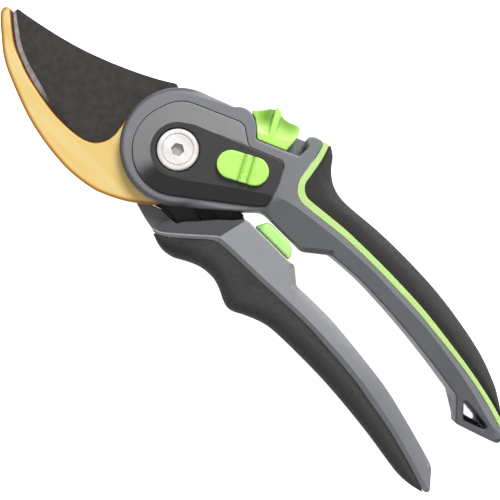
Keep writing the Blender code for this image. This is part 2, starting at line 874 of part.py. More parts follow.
def make_lower_handle():
    grey = grey_plastic("lower_shell")
    horn = [(-18.4, -9.0), (-20.2, -4.0), (-21.1, -0.3), (-22.4, 0.3), (-23.1, -1.9)]
    horn += [(-24.5, -6.9), (-25.2, -11.0)]
    brow = [(-18.1, -13.6), (-25.1, -11.6)]
    grip_side = LOWER_GRIP_EDGE + LOWER_TAIL + LOWER_INNER + LOWER_HEAD
    rear_outline = grow(horn + grip_side, -0.05)
    front_outline = grow(brow + grip_side, -0.05)
    rear = slab("lower_shell_rear", rear_outline, SHELL_BOTTOM, LOWER_SPLIT - 0.1, grey)
    front = slab("lower_shell_front", front_outline, LOWER_SPLIT + 0.1, HANDLE_TOP, grey)
    join(rear, slab("join_lower_tongue_rear", LOWER_TONGUE, TONGUE[0], LOWER_SPLIT - FIT))
    join(front, slab("join_lower_tongue_front", LOWER_TONGUE, LOWER_SPLIT + FIT, TONGUE[1]))
    cut(rear, slab("cut_tang_room", grow(blade_outline(), FIT), BLADE[0] - FIT, ABOVE))
    carrier_room = grow(carrier_outline(), FIT)
    cut(rear, slab("cut_carrier_room", carrier_room, CARRIER[0] - FIT, BLADE[0]))
    for number, at in enumerate(TANG_RIVETS, 1):
        low, high = TANG_RIVET
        hole = rod(f"cut_tang_rivet_{number}", at, RIVET_HOLE, low - HAIR, high + HAIR)
        cut(rear, hole)
        cut(front, hole)
    screws = []
    for number, at in enumerate(SCREWS_LOWER, 1):
        name = f"lower_screw_{number}"
        screws.append(screw(name, at, SCREW_SEAT, SCREW_END))
        screw_holes(rear, front, name, at, SCREW_SEAT, SCREW_END)
    core = slab("cut_lower_tongue", grow(LOWER_TONGUE, HAIR), TONGUE[0] - HAIR, TONGUE[1] + HAIR)
    grip = soft_side("lower_grip", LOWER_GRIP_EDGE, LOWER_OUTER, HAIR, soft_grip("lower_grip"))
    cut(grip, core)

    nose = curve([(0.4, -36.0), (4.1, -38.1), (4.7, -42.0), (4.6, -48.7), (2.7, -51.9), (0.4, -52.3)])
    bumper = slab("bumper", nose, *BUMPER, green_plastic("bumper"), 0.6)
    peg = [(1.0, -40.0), (1.0, -48.0), (-2.6, -48.0), (-2.6, -40.0)]
    join(bumper, slab("join_bumper_peg", peg, *BUMPER_PEG))
    low, high = BUMPER_PEG
    peg_room = slab("cut_bumper_peg", grow(peg, FIT), low - FIT, high + FIT)
    cut(rear, peg_room)
    cut(front, peg_room)
    return [rear, front, grip, bumper, *screws]


# Lock and switch --------------------------------------------------------------------------


def lock_across(point, distance):
    """A point moved sideways from the lock's line of travel, towards the pivot."""
    return shifted(point, (LOCK_WAY[1], -LOCK_WAY[0]), distance)


def make_lock(rear_shell):
    outline = [
        (26.9, -8.6),
        *curve([(28.5, -9.4), (30.7, -10.6), (32.8, -11.4), (33.9, -14.2), (33.2, -16.6)]),
        *curve([(33.2, -19.0), (34.1, -21.2), (34.6, -23.5)]),
        (32.7, -24.4),
        (31.0, -25.1),
        (25.7, -25.4),
        (21.6, -15.7),
        (24.0, -13.2),
        (26.2, -10.2),
    ]
    slider = slab("lock_slider", outline, *SLIDER, green_plastic("lock_slider"), 0.5)
    heel = (28.2, -16.4)
    bar = [shifted(heel, LOCK_WAY, 2.4), shifted(heel, LOCK_WAY, -1.2)]
    bar += [lock_across(bar[1], 11.0), lock_across(bar[0], 11.0)]
    latch = slab("lock_latch", bar, *LATCH, bright_steel("lock_latch"))
    room = []
    for side in (2.4 + LOCK_TRAVEL + 0.4, -1.6):
        room.append(lock_across(shifted(heel, LOCK_WAY, side), -8.0))
    room += [lock_across(room[1], 19.6), lock_across(room[0], 19.6)]
    cut(rear_shell, slab("cut_latch_room", room, LATCH[0] - FIT, ABOVE))
    return [slider, latch]


def switch_centre():
    (ax, ay), (bx, by) = SWITCH_ENDS
    return ((ax + bx) / 2, (ay + by) / 2)


def make_switch():
    cap = stadium(*SWITCH_ENDS, SWITCH_RADIUS, 12)
    switch = slab("width_switch", cap, *SWITCH_CAP, green_plastic("width_switch"), 0.4)
    stem = rod("join_stem", switch_centre(), STEM_RADIUS, BUSH[1], SWITCH_CAP[0] + 0.4)
    join(switch, stem)
    black = paint("opening_stop", (0.1, 0.1, 0.1), 0.5)
    stop = rod("opening_stop", switch_centre(), STOP_RADIUS, *OPENING_STOP, black)
    return [switch, stop]


def main():
    clear_scene()
    front_shell, rear_shell = make_upper_handle()
    make_covers(front_shell)
    make_hook()
    make_pivot()
    spring_hole = make_spring()
    lower = [*make_blade(spring_hole), make_carrier(), *make_lower_handle()]
    guide("lower_handle_hinge", (0, 0, SPLIT), lower)
    guide("lock_guide", (28.2, -16.4, SPLIT), make_lock(rear_shell))
    guide("switch_guide", (*switch_centre(), COVER_TOP), make_switch())


main()
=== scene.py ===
"""The looks of the bypass pruner: fine meshes, materials, floor, light and camera.

Millimetres inside the helpers, metres in the scene. +Z points to the viewer, +Y to the blade
tips, +X to the thumb lock; the pivot axis is Z.
"""

import math

import bmesh
import bpy
import numpy as np
from mathutils import Matrix, Vector
from mathutils.geometry import delaunay_2d_cdt


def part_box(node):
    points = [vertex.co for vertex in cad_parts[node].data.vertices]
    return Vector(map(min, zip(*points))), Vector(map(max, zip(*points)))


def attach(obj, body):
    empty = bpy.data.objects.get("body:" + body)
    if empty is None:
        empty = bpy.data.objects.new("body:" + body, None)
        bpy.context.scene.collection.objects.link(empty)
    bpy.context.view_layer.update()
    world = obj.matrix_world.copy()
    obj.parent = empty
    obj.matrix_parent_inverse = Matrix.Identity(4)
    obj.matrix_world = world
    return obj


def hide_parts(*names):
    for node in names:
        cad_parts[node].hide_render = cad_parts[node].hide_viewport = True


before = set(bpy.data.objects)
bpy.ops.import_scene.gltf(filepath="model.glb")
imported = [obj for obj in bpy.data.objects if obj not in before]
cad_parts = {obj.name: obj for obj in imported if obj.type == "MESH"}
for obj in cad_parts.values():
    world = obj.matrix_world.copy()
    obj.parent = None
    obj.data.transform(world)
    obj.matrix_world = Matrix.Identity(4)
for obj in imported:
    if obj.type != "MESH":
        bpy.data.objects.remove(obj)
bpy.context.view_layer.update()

MM = 0.001
STEP = 0.6  # spacing of the points along an outline
CRISP = math.radians(32)  # edges sharper than this are shaded sharp
FOLD_ANGLE = math.radians(4)  # and along a fold line, edges sharper than this
BASE_TONE = 0.25  # the grey plastic's plain colour; 0 is painted light and 1 is painted shade
UPPER, LOWER = "upper_handle", "lower_handle"  # the two bodies that most pieces ride on
PIVOT = (0, 0)
FIT = 0.3  # room round a piece in the pocket that holds it
COVER_FIT = 0.34
BELOW, ABOVE = -5, 40  # heights past every piece, for cutters


def low_of(node):
    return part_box(node)[0][2] / MM


def top_of(node):
    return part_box(node)[1][2] / MM


SHELL_TOP = top_of("upper_shell_front")
SHELL_LOW = low_of("upper_shell_rear")
SPLIT = (low_of("upper_shell_front") + top_of("upper_shell_rear")) / 2
LOWER_SPLIT = (low_of("lower_shell_front") + top_of("lower_shell_rear")) / 2
LOWER_TOP = top_of("lower_shell_front")
GRIP_TOP = top_of("upper_grip")
COVER_TOP = top_of("cover_front")
REAR_COVER_TOP = top_of("cover_rear")
BLADE_LOW, BLADE_TOP = low_of("cutting_blade"), top_of("cutting_blade")
HOOK_LOW, HOOK_TOP = low_of("hook_blade"), top_of("hook_blade")
SLIDER_LOW, SLIDER_TOP = low_of("lock_slider"), top_of("lock_slider")
SWITCH_TOP = top_of("width_switch")
BUMPER_LOW, BUMPER_TOP = low_of("bumper"), top_of("bumper")
BOLT_TOP = top_of("pivot_bolt")
BOLT_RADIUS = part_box("pivot_bolt")[1][0] / MM


# --- Plan curves ---


def lengths(vectors):
    return np.hypot(*vectors.T)


def curve(points, spacing=STEP):
    """A smooth curve through the points, evenly spaced, ends included."""
    p = [Vector(q) for q in points]
    p = [2 * p[0] - p[1], *p, 2 * p[-1] - p[-2]]
    dense = []
    parts = 12
    for a, b, c, d in zip(p, p[1:], p[2:], p[3:]):
        for t in (j / parts for j in range(parts)):
            bend = (2 * a - 5 * b + 4 * c - d) * t**2
            twist = (3 * b - a - 3 * c + d) * t**3
            dense.append(0.5 * (2 * b + (c - a) * t + bend + twist))
    dense.append(p[-2])
    return spaced([tuple(q) for q in dense], spacing)


def spaced(points, spacing=STEP, closed=False, count=None):
    """The same line with evenly spaced points."""
    line = np.array(points if not closed else [*points, points[0]], float)
    reach = np.concatenate([[0], np.cumsum(np.hypot(*np.diff(line, axis=0).T))])
    if count is None:
        count = max(2, round(reach[-1] / spacing) + 1)
    goals = np.linspace(0, reach[-1], count)
    found = np.stack([np.interp(goals, reach, line[:, k]) for k in (0, 1)], axis=1)
    return [tuple(q) for q in (found[:-1] if closed else found)]


def arc(centre, radius, start, end, steps=24):
    found = []
    for i in range(steps + 1):
        turn = math.radians(start + (end - start) * i / steps)
        found.append((centre[0] + radius * math.cos(turn), centre[1] + radius * math.sin(turn)))
    return found


def ring_of(centre, radius, steps=40):
    return arc(centre, radius, 0, 360 * (steps - 1) / steps, steps - 1)


def softened(points, soft=3, spacing=STEP):
    """A closed outline, evenly spaced, with its corners rounded a little."""
    line = np.array(spaced(points, spacing, closed=True))
    for _ in range(soft):
        line = (np.roll(line, 1, axis=0) + 2 * line + np.roll(line, -1, axis=0)) / 4
    if signed_area(line) < 0:
        line = line[::-1]
    return [tuple(q) for q in line]


def signed_area(line):
    line = np.asarray(line)
    x, y = line[:, 0], line[:, 1]
    return float(np.sum(x * np.roll(y, -1) - np.roll(x, -1) * y) / 2)


def outward(line):
    """Outward unit normals at the points of a closed counter-clockwise outline."""
    line = np.asarray(line)
    before = line - np.roll(line, 1, axis=0)
    after = np.roll(line, -1, axis=0) - line
    before /= lengths(before)[:, None]
    after /= lengths(after)[:, None]
    normal = np.stack([before[:, 1] + after[:, 1], -before[:, 0] - after[:, 0]], axis=1)
    normal /= np.maximum(lengths(normal), 1e-9)[:, None]
    return normal


def grown(line, distance):
    """A closed outline moved outward by the distance."""
    line = np.asarray(line)
    side = 1 if signed_area(line) > 0 else -1
    return [tuple(q) for q in line + side * distance * outward(line)]


def inside(points, outline):
    """Which of the points lie inside a closed outline."""
    points = np.asarray(points, float).reshape(-1, 2)
    ring = np.asarray(outline, float)
    after = np.roll(ring, -1, axis=0)
    found = np.zeros(len(points), bool)
    for (ax, ay), (bx, by) in zip(ring, after):
        crosses = (ay > points[:, 1]) != (by > points[:, 1])
        if by != ay:
            found ^= crosses & (points[:, 0] < (bx - ax) * (points[:, 1] - ay) / (by - ay) + ax)
    return found


def gap_to(points, line, closed=False):
    """Distance of each point to a line, negative on its left side."""
    points = np.asarray(points, float).reshape(-1, 2)
    line = np.asarray(line, float)
    ends = np.roll(line, -1, axis=0) if closed else line[1:]
    starts = line if closed else line[:-1]
    best = np.full(len(points), 1e9)
    side = np.ones(len(points))
    for a, b in zip(starts, ends):
        way = b - a
        size = way @ way
        t = np.clip(((points - a) @ way) / size, 0, 1)
        off = points - a - t[:, None] * way
        distance = lengths(off)
        nearer = distance < best - 1e-9
        best = np.where(nearer, distance, best)
        cross = way[0] * (points[:, 1] - a[1]) - way[1] * (points[:, 0] - a[0])
        side = np.where(nearer, np.where(cross > 0, -1, 1), side)
    return best * side


# --- Meshes ---


def ease(value, low, high):
    """0 up to low, 1 from high on, and smooth between them."""
    t = np.clip((value - low) / (high - low), 0, 1)
    return t * t * (3 - 2 * t)


def as_function(value):
    if callable(value):
        return value
    return lambda points: np.full(len(points), float(value))


def linked(thing):
    bpy.context.scene.collection.objects.link(thing)
    return thing


def wall(made, one, two):
    """The faces between two closed rows of vertices."""
    for i in range(len(one)):
        j = (i + 1) % len(one)
        made.faces.new((one[i], one[j], two[j], two[i]))


def turn_out(made):
    """Makes the faces of a closed mesh point outward."""
    bmesh.ops.recalc_face_normals(made, faces=made.faces)
    if made.calc_volume(signed=True) < 0:
        bmesh.ops.reverse_faces(made, faces=made.faces)


def added(name, made):
    """An object in the scene from a bmesh in millimetres."""
    for vert in made.verts:
        vert.co *= MM
    mesh = bpy.data.meshes.new(name)
    made.to_mesh(mesh)
    made.free()
    return linked(bpy.data.objects.new(name, mesh))


def finish_mesh(name, made, material, tone=None, crisp=CRISP):
    """A piece from a bmesh in millimetres, shaded smooth but for its folds."""
    turn_out(made)
    for edge in made.edges:
        if len(edge.link_faces) == 2 and edge.calc_face_angle(0) > crisp:
            edge.smooth = False
    for face in made.faces:
        face.smooth = True
    piece = added(name, made)
    piece.data.materials.append(material)
    if tone is not None:
        set_tone(piece, tone)
    weigh = piece.modifiers.new("weighted_normals", "WEIGHTED_NORMAL")
    weigh.keep_sharp = True
    return piece


def read(items, field, kind=int, width=1):
    """One field of all the items, as an array."""
    found = np.empty(len(items) * width, kind)
    items.foreach_get(field, found)
    return found


def set_tone(piece, tone):
    """Writes the shade of each face corner, read a little inside its face so that folds stay crisp."""
    mesh = piece.data
    points = read(mesh.vertices, "co", float, 3).reshape(-1, 3) / MM
    corners = read(mesh.loops, "vertex_index")
    sizes = read(mesh.polygons, "loop_total")
    owners = np.repeat(np.arange(len(sizes)), sizes)
    centres = np.zeros((len(sizes), 3))
    np.add.at(centres, owners, points[corners])
    centres /= sizes[:, None]
    reads = points[corners] * 0.94 + centres[owners] * 0.06
    layer = mesh.attributes.get("tone") or mesh.attributes.new("tone", "FLOAT", "CORNER")
    layer.data.foreach_set("value", tone(reads).astype(np.float32))


def plate(
    name, outline, low, high, material, rim=0.6, low_rim=0.5, folds=(), holes=(), grid=None,
    tone=None, steps=4,
):
    """A closed solid between two surfaces, with rounded rims.

    low and high are heights or functions of the plan points; rim and low_rim are the radii of
    the rounded edges; folds are lines on the front surface where it may break.
    """
    low, high, rim, low_rim = (as_function(v) for v in (low, high, rim, low_rim))
    made = bmesh.new()
    top_loops, low_loops = [], []
    for number, line in enumerate([outline, *holes]):
        line = np.array(line)
        if (signed_area(line) > 0) != (number == 0):
            line = line[::-1]
        normal = outward(line)
        columns = []
        for surface, radius, sign in ((high, rim(line), 1), (low, low_rim(line), -1)):
            loops = []
            for i in range(steps + 1):
                turn = math.pi / 2 * i / steps
                plan = line - normal * (radius * (1 - math.cos(turn)))[:, None]
                z = surface(plan) - sign * radius * (1 - math.sin(turn))
                loops.append([made.verts.new((*q, h)) for q, h in zip(plan, z)])
            columns.append(loops)
        tops, lows = columns
        stack = lows[::-1] + tops
        for one, two in zip(stack, stack[1:]):
            wall(made, one, two)
        top_loops.append(tops[-1])
        low_loops.append(lows[-1])
    cap(made, top_loops, high, folds, grid)
    cap(made, low_loops, low)
    return finish_mesh(name, made, material, tone)


def cap(made, loops, surface, folds=(), grid=None):
    """Fills the loops (an outline and its holes) with a triangulated surface that keeps the folds."""
    known = [v for loop in loops for v in loop]
    plan = [Vector(v.co[:2]) for v in known]
    edges = []
    start = 0
    for loop in loops:
        edges += [(start + i, start + (i + 1) % len(loop)) for i in range(len(loop))]
        start += len(loop)
    rings = [np.array([v.co[:2] for v in loop]) for loop in loops]
    border = np.array([q[:] for q in plan])

    def within(points, margin):
        points = np.asarray(points, float).reshape(-1, 2)
        found = inside(points, rings[0])
        for ring in rings[1:]:
            found &= ~inside(points, ring)
        for ring in rings:
            found &= np.abs(gap_to(points, ring, closed=True)) > margin
        return found

    fold_pairs = []
    for fold in folds:
        line = np.array(fold)
        keep = within(line, 0.12)
        run = []
        for i, point in enumerate(line):
            if keep[i]:
                if not run and i > 0:
                    run.append(int(np.argmin(np.hypot(*(border - line[i - 1]).T))))
                plan.append(Vector(point))
                run.append(len(plan) - 1)
            elif run:
                run.append(int(np.argmin(np.hypot(*(border - point).T))))
                fold_pairs += list(zip(run, run[1:]))
                run = []
        fold_pairs += list(zip(run, run[1:]))
        if run and np.hypot(*(line[0] - line[-1])) < 1.0 and keep.all():
            fold_pairs.append((run[-1], run[0]))
    edges += fold_pairs
    if grid:
        lo, hi = rings[0].min(axis=0), rings[0].max(axis=0)
        xs, ys = np.arange(lo[0], hi[0], grid), np.arange(lo[1], hi[1], grid * 0.866)
        points = [(x + (grid / 2 if row % 2 else 0), y) for row, y in enumerate(ys) for x in xs]
        points = np.array(points)[within(points, grid * 0.45)]
        for fold in folds:
            if len(points):
                points = points[np.abs(gap_to(points, fold)) > grid * 0.35]
        plan += [Vector(q) for q in points]
    verts, _, faces, origins, _, _ = delaunay_2d_cdt(plan, edges, [], 0, 1e-6)
    middle = np.array([[sum(verts[i][k] for i in f) / len(f) for k in (0, 1)] for f in faces])
    keep = inside(middle, rings[0])
    for ring in rings[1:]:
        keep &= ~inside(middle, ring)
    heights = surface(np.array([v[:] for v in verts]))
    index = {}
    fold_points = {i for pair in fold_pairs for i in pair}
    on_fold = set()
    for i, source in enumerate(origins):
        first = source[0] if len(source) else -1
        if 0 <= first < len(known):
            index[i] = known[first]
        else:
            index[i] = made.verts.new((*verts[i], heights[i]))
        if any(s in fold_points for s in source) or first == -1:
            on_fold.add(index[i])
    for face, wanted in zip(faces, keep):
        if wanted:
            corners = [index[i] for i in face]
            if len(set(corners)) == 3 and made.faces.get(corners) is None:
                made.faces.new(corners)
    loose = [v for v in index.values() if not v.link_faces]
    bmesh.ops.delete(made, geom=loose, context="VERTS")
    made.normal_update()
    for vert in on_fold:
        if vert.is_valid:
            for edge in vert.link_edges:
                if edge.other_vert(vert) in on_fold and len(edge.link_faces) == 2:
                    if edge.calc_face_angle(0) > FOLD_ANGLE:
                        edge.smooth = False


def loft(name, sections, material, tone=None, crisp=CRISP):
    """A closed solid through closed sections of the same number of 3-D points, ends filled."""
    made = bmesh.new()
    rows = [[made.verts.new(tuple(p)) for p in section] for section in sections]
    for one, two in zip(rows, rows[1:]):
        wall(made, one, two)
    for row in (rows[0], rows[-1]):
        centre = made.verts.new(sum((v.co for v in row), Vector()) / len(row))
        for i in range(len(row)):
            made.faces.new((row[i], row[(i + 1) % len(row)], centre))
    return finish_mesh(name, made, material, tone, crisp)


def lathe(name, profile, centre, material, steps=96, tone=None):
    """A round piece about a line parallel to Z: profile is [(radius, z)], a closed section."""
    made = bmesh.new()
    columns = []
    for radius, z in profile:
        if radius == 0:
            columns.append([made.verts.new((*centre, z))] * steps)
        else:
            columns.append([made.verts.new((x, y, z)) for x, y in ring_of(centre, radius, steps)])
    for one, two in zip(columns, columns[1:] + columns[:1]):
        for i in range(steps):
            j = (i + 1) % steps
            corners = list(dict.fromkeys((one[i], one[j], two[j], two[i])))
            if len(corners) > 2:
                made.faces.new(corners)
    return finish_mesh(name, made, material, tone, math.radians(25))


def carve(piece, *tools, tone=None):
    """Cuts the tools out of a piece for good, before its normals are weighed."""
    for tool in tools:
        modifier = piece.modifiers.new("carve", "BOOLEAN")
        modifier.operation = "DIFFERENCE"
        modifier.solver = "EXACT"
        modifier.object = tool
        piece.modifiers.move(len(piece.modifiers) - 1, 0)
    for modifier in [m for m in piece.modifiers if m.type == "BOOLEAN"]:
        with bpy.context.temp_override(object=piece, active_object=piece):
            bpy.ops.object.modifier_apply(modifier=modifier.name)
    for tool in tools:
        bpy.data.objects.remove(tool, do_unlink=True)
    if tone is not None:
        set_tone(piece, tone)


def prism(outline, low, high):
    """A plain cutter."""
    made = bmesh.new()
    bottom = [made.verts.new((*q, low)) for q in outline]
    top = [made.verts.new((*q, high)) for q in outline]
    made.faces.new(bottom)
    made.faces.new(top)
    wall(made, bottom, top)
    turn_out(made)
    return added("cutter", made)


def place(piece, body, slot, *nodes):
    """Rides a piece on its body and lets it stand for its CAD nodes, which it hides; slot, its finish, is
    not used.
    """
    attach(piece, body)
    if nodes:
        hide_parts(*nodes)
    return piece


# --- Materials ---


def hexed(code):
    """A linear colour from an sRGB hex code."""
    found = []
    for k in (0, 2, 4):
        c = int(code[k : k + 2], 16) / 255
        found.append(c / 12.92 if c <= 0.04045 else ((c + 0.055) / 1.055) ** 2.4)
    return (*found, 1.0)


def level(share):
    """A plain grey that stands for a number."""
    return (share, share, share, 1)


class Paint:
    """A Principled material being wired: colour, roughness and bump from procedural nodes."""

    def __init__(self, name, roughness=0.5, metallic=0.0, **sockets):
        self.material = bpy.data.materials.new(name)
        self.material.use_nodes = True
        self.nodes = self.material.node_tree.nodes
        self.links = self.material.node_tree.links
        self.shader = self.nodes["Principled BSDF"]
        self.shader.inputs["Roughness"].default_value = roughness
        self.shader.inputs["Metallic"].default_value = metallic
        for socket, value in sockets.items():
            self.shader.inputs[socket.replace("_", " ")].default_value = value
        self.space = self.node("TexCoord").outputs["Object"]

    def feed(self, socket, value):
        """Links an output to the socket, or sets the socket's value."""
        if hasattr(value, "links"):
            self.links.new(value, socket)
        else:
            socket.default_value = value

    def node(self, kind, **sockets):
        node = self.nodes.new("ShaderNode" + kind)
        for socket, value in sockets.items():
            self.feed(node.inputs[socket], value)
        return node

    def noise(self, scale, detail=3.0, stretch=None):
        space = self.space
        if stretch:
            space = self.node("Mapping", Scale=stretch, Vector=space).outputs["Vector"]
        return self.node("TexNoise", Scale=scale, Detail=detail, Vector=space).outputs["Fac"]

    def ramp(self, source, stops):
        """Colours along the source: each stop is a place and a hex code or a colour."""
        node = self.node("ValToRGB", Fac=source)
        elements = node.color_ramp.elements
        while len(elements) < len(stops):
            elements.new(0.5)
        for element, (at, colour) in zip(elements, stops):
            element.position = at
            element.color = hexed(colour) if isinstance(colour, str) else colour
        return node.outputs["Color"]

    def grained(self, noise, low, high, spread=0.35):
        """Two colours that noise of these settings wanders between."""
        return self.ramp(self.noise(*noise), [(spread, low), (1 - spread, high)])

    def tone(self):
        node = self.node("Attribute")
        node.attribute_name = "tone"
        return node.outputs["Fac"]

    def mixed(self, one, two, factor, blend="MIX"):
        node = self.node("Mix")
        node.data_type = "RGBA"
        node.blend_type = blend
        sockets = {s.identifier: s for s in node.inputs}
        for key, value in (("A_Color", one), ("B_Color", two), ("Factor_Float", factor)):
            self.feed(sockets[key], value)
        return next(s for s in node.outputs if s.identifier == "Result_Color")

    def varied(self, colour, scale=60.0, amount=0.12):
        """A colour that wanders a little from place to place."""
        dark = tuple(c * (1 - amount) for c in colour[:3]) + (1.0,)
        light = tuple(min(1.0, c * (1 + amount)) for c in colour[:3]) + (1.0,)
        return self.grained([scale], dark, light, 0.3)

    def colour(self, source):
        self.feed(self.shader.inputs["Base Color"], source)
        return self

    def rough(self, low, high, scale=300.0, stretch=None):
        source = self.grained((scale, 4.0, stretch), level(low), level(high), 0.3)
        self.feed(self.shader.inputs["Roughness"], source)
        return self

    def bump(self, source, strength, distance=0.0001):
        node = self.node("Bump", Strength=strength, Distance=distance, Height=source)
        self.feed(self.shader.inputs["Normal"], node.outputs["Normal"])
        return self


def moulded(name, stops, grain=0.25):
    """Moulded plastic with a fine spark-eroded grain, coloured by tone along the stops; the tone holds
    painted light and shade where a piece writes it.
    """
    paint = Paint(name, 0.5)
    base = paint.ramp(paint.tone(), stops)
    mottle = paint.varied((0.95, 0.95, 0.95, 1), 90, 0.04)
    paint.colour(paint.mixed(base, mottle, 1.0, "MULTIPLY"))
    paint.rough(0.42, 0.56, 500)
    return paint.bump(paint.noise(2600, 2), grain, 0.00006).material


def make_materials():
    made = {}
    # the grey's stops: painted light, the plain grey at BASE_TONE, painted shade
    made["grey"] = moulded("grey_plastic", [(0.0, "A6A7AA"), (0.25, "85878B"), (1.0, "48494C")])
    # the cover's stops: painted shade, its plain dark grey, painted light on the facet that faces the
    # light
    made["cover"] = moulded("cover_plastic", [(0.0, "202020"), (0.3, "3B3B3B"), (1.0, "888888")], 0.12)
    made["black"] = moulded("black_plastic", [(0.0, "3C3C3C"), (1.0, "474747")])

    grip = Paint("soft_grip", 0.8)
    speck = grip.grained((900, 5), "232221", "302F2D")
    # painted light: the grip's crown is mixed towards a lighter grey by tone
    grip.colour(grip.mixed(speck, hexed("3A3938"), grip.tone()))
    grip.rough(0.72, 0.9, 700)
    made["grip"] = grip.bump(grip.noise(1800, 4), 0.5, 0.00012).material

    for name, light, shade in (
        ("green_control", "C6FF78", "669A2C"),
        ("green_band", "CBEE93", "A6CB68"),
        ("green_soft", "C4FF98", "7FBE52"),
    ):
        green = Paint(name, 0.42)
        green.colour(green.mixed(green.varied(hexed(light), 120, 0.04), hexed(shade), green.tone()))
        green.rough(0.36, 0.5, 400)
        made[name] = green.bump(green.noise(2200, 2), 0.15, 0.00005).material

    gold = Paint("gold_steel", 0.36, 0.15)
    brushed = gold.grained((260, 5.0, (1, 0.08, 1)), "F8D47E", "FFE5A2")
    # painted edge shade on the hook: from its gold face through orange to dark brown
    painted_edge_shade = gold.ramp(gold.tone(), [(0.0, "FBDB85"), (0.55, "D08C2E"), (1.0, "3A2208")])
    plain = gold.ramp(gold.tone(), [(0.0, level(0.75)), (0.4, level(0))])
    gold.colour(gold.mixed(painted_edge_shade, brushed, plain))
    gold.rough(0.3, 0.45, 500, (1, 0.1, 1))
    made["gold"] = gold.bump(gold.noise(900, 4.0, (1, 0.06, 1)), 0.12, 0.00003).material

    blade = Paint("coated_blade", 0.5, Specular_IOR_Level=0.25)
    coat = blade.grained((420, 6), "3A3836", "444240")
    ground = blade.grained((700, 4.0, (0.15, 1, 1)), "A3A1A6", "CCCACF", 0.3)
    blade.colour(blade.mixed(coat, ground, blade.tone()))
    bare = blade.ramp(blade.tone(), [(0.4, level(0)), (0.6, level(0.2))])
    blade.feed(blade.shader.inputs["Metallic"], bare)
    blade.rough(0.5, 0.64, 600)
    made["blade"] = blade.bump(blade.noise(1500, 3), 0.15, 0.00004).material

    steel = Paint("polished_steel", 0.2, 1.0)
    steel.colour(steel.grained((180, 6), "D8D2CA", "FFFBF4", 0.3))
    steel.rough(0.14, 0.3, 420)
    made["steel"] = steel.bump(steel.noise(500, 4), 0.1, 0.00004).material

    face = Paint("bolt_face", 0.3, 0.08)
    long_noise = face.noise(150, 6.0, (1, 0.16, 1))
    # painted reflection: near-white streaks with dark patches standing in for the polished head's
    # reflections
    painted_reflection = face.ramp(long_noise, [(0.27, "9A8F86"), (0.36, "E9E0D8"), (0.6, "FFFFFF")])
    face.colour(face.mixed(painted_reflection, hexed("7A716A"), face.tone()))
    face.rough(0.2, 0.36, 420)
    made["bolt"] = face.bump(face.noise(500, 4.0, (1, 0.2, 1)), 0.1, 0.00004).material

    for key, name, roughness, metallic, colour, grain, rough in (
        ("bronze", "turned_bronze", 0.35, 1.0, "B98A4E", (300, 0.15), (0.25, 0.45, 600, (1, 1, 8))),
        ("wire", "spring_wire", 0.3, 1.0, "A8A8AC", (300, 0.12), (0.22, 0.4, 700)),
        ("washer", "slide_washer", 0.5, 0.0, "E2E1DC", (200, 0.05), (0.4, 0.55, 500)),
    ):
        paint = Paint(name, roughness, metallic)
        paint.colour(paint.varied(hexed(colour), *grain))
        made[key] = paint.rough(*rough).material
    return made


# --- Shared plan chains, millimetres ---

HOUSING = ((1, 0.9), 20.0)
INNER = [
    *spaced([(-14.8, -11.4), (-0.2, -28.3)]),
    *curve([(0.4, -28.9), (4, -32.5), (5.2, -34.2), (5.6, -36.2)]),
    (5.6, -53.7),
    *curve([(11.5, -61.2), (12.2, -69.4), (12.4, -77.8), (11.6, -93.4), (10, -109.1), (7.8, -124.2)]),
]
TAIL = [(3.2, -137.5), (5, -142.6), (6, -145.4), (7.2, -145.9), (9.3, -144.1)]
BAND_LEFT = curve([
    (36.5, -32.2), (33.5, -33.4), (30, -34.2), (25, -35), (21.5, -35.6), (18.5, -37.5),
    (17, -40.2), (16.8, -43.6), (17.5, -50), (18.3, -57), (18.8, -64), (18.9, -77.8),
    (18.4, -93.3), (17.3, -105), (15.5, -120), (13, -132.5), (10.1, -142.2),
])
BAND_RIGHT = curve([
    (36.9, -34.6), (33.5, -35.8), (30, -36.7), (25, -37.5), (22.5, -38), (20.4, -39.6),
    (19.4, -41.8), (19.5, -44.4), (20.1, -50), (20.8, -57), (21.1, -64), (21.2, -77.8),
    (20.7, -93.3), (19.5, -105), (17.4, -120), (14.9, -132.5), (12.2, -141.9),
])
GRIP_OUTER = curve([
    (37.1, -35), (35.3, -37.9), (32.3, -40.4), (30.2, -42.9), (28.5, -46.2), (27.7, -49.5),
    (27.6, -53.9), (28.4, -63), (28.8, -69.4), (28.9, -80.6), (28.25, -95), (26.5, -107.5),
    (23.75, -120), (19.8, -129.9), (16.9, -134.7), (12.7, -140.6),
])
UPPER_FOLD = curve([
    (12, -33.2), (13.25, -36.5), (14.5, -41.5), (15.3, -47.2), (16.1, -53.9), (16.7, -59.4),
    (17.2, -66.7), (17.5, -75), (17.2, -83.3), (16.6, -100), (15, -112.5), (12.75, -125),
    (10, -135), (8.6, -141),
])
COVER = softened([
    *arc(PIVOT, 15.15, 68, 214, 40),
    (5.2, -31.6), (8, -34.2), (15, -31.9), (21.4, -28.5), (22, -27.2), (17.5, -16.4),
    (17.6, -15.3), (21.4, -9.9), (21.3, -8.2), (14.4, 7.6), (13.1, 9.8), (11.2, 11.6), (8.8, 13.1),
])
PLATEAU = [
    *arc(PIVOT, 9.2, 38, 218, 40),
    (-5.2, -9.2), (0, -16.2), (5, -23.2), (10.3, -31.2), (12.4, -35.5), (24, -30.5),
    (24, -24), (17.9, -16.9), (12.6, -5), (10, 1.6),
]
LOWER_EDGE = curve([
    (-25.5, -13.6), (-24.6, -15.5), (-22.4, -18.6), (-19, -22.5), (-15, -27), (-13, -29.5),
    (-12.2, -32), (-11.9, -37.5), (-11.6, -50), (-11.1, -63), (-10.9, -72.2), (-11.4, -80.6),
    (-12.5, -95), (-14.3, -105.5), (-16, -115), (-18.5, -125), (-21.5, -135),
    (-22.9, -138.6),
])
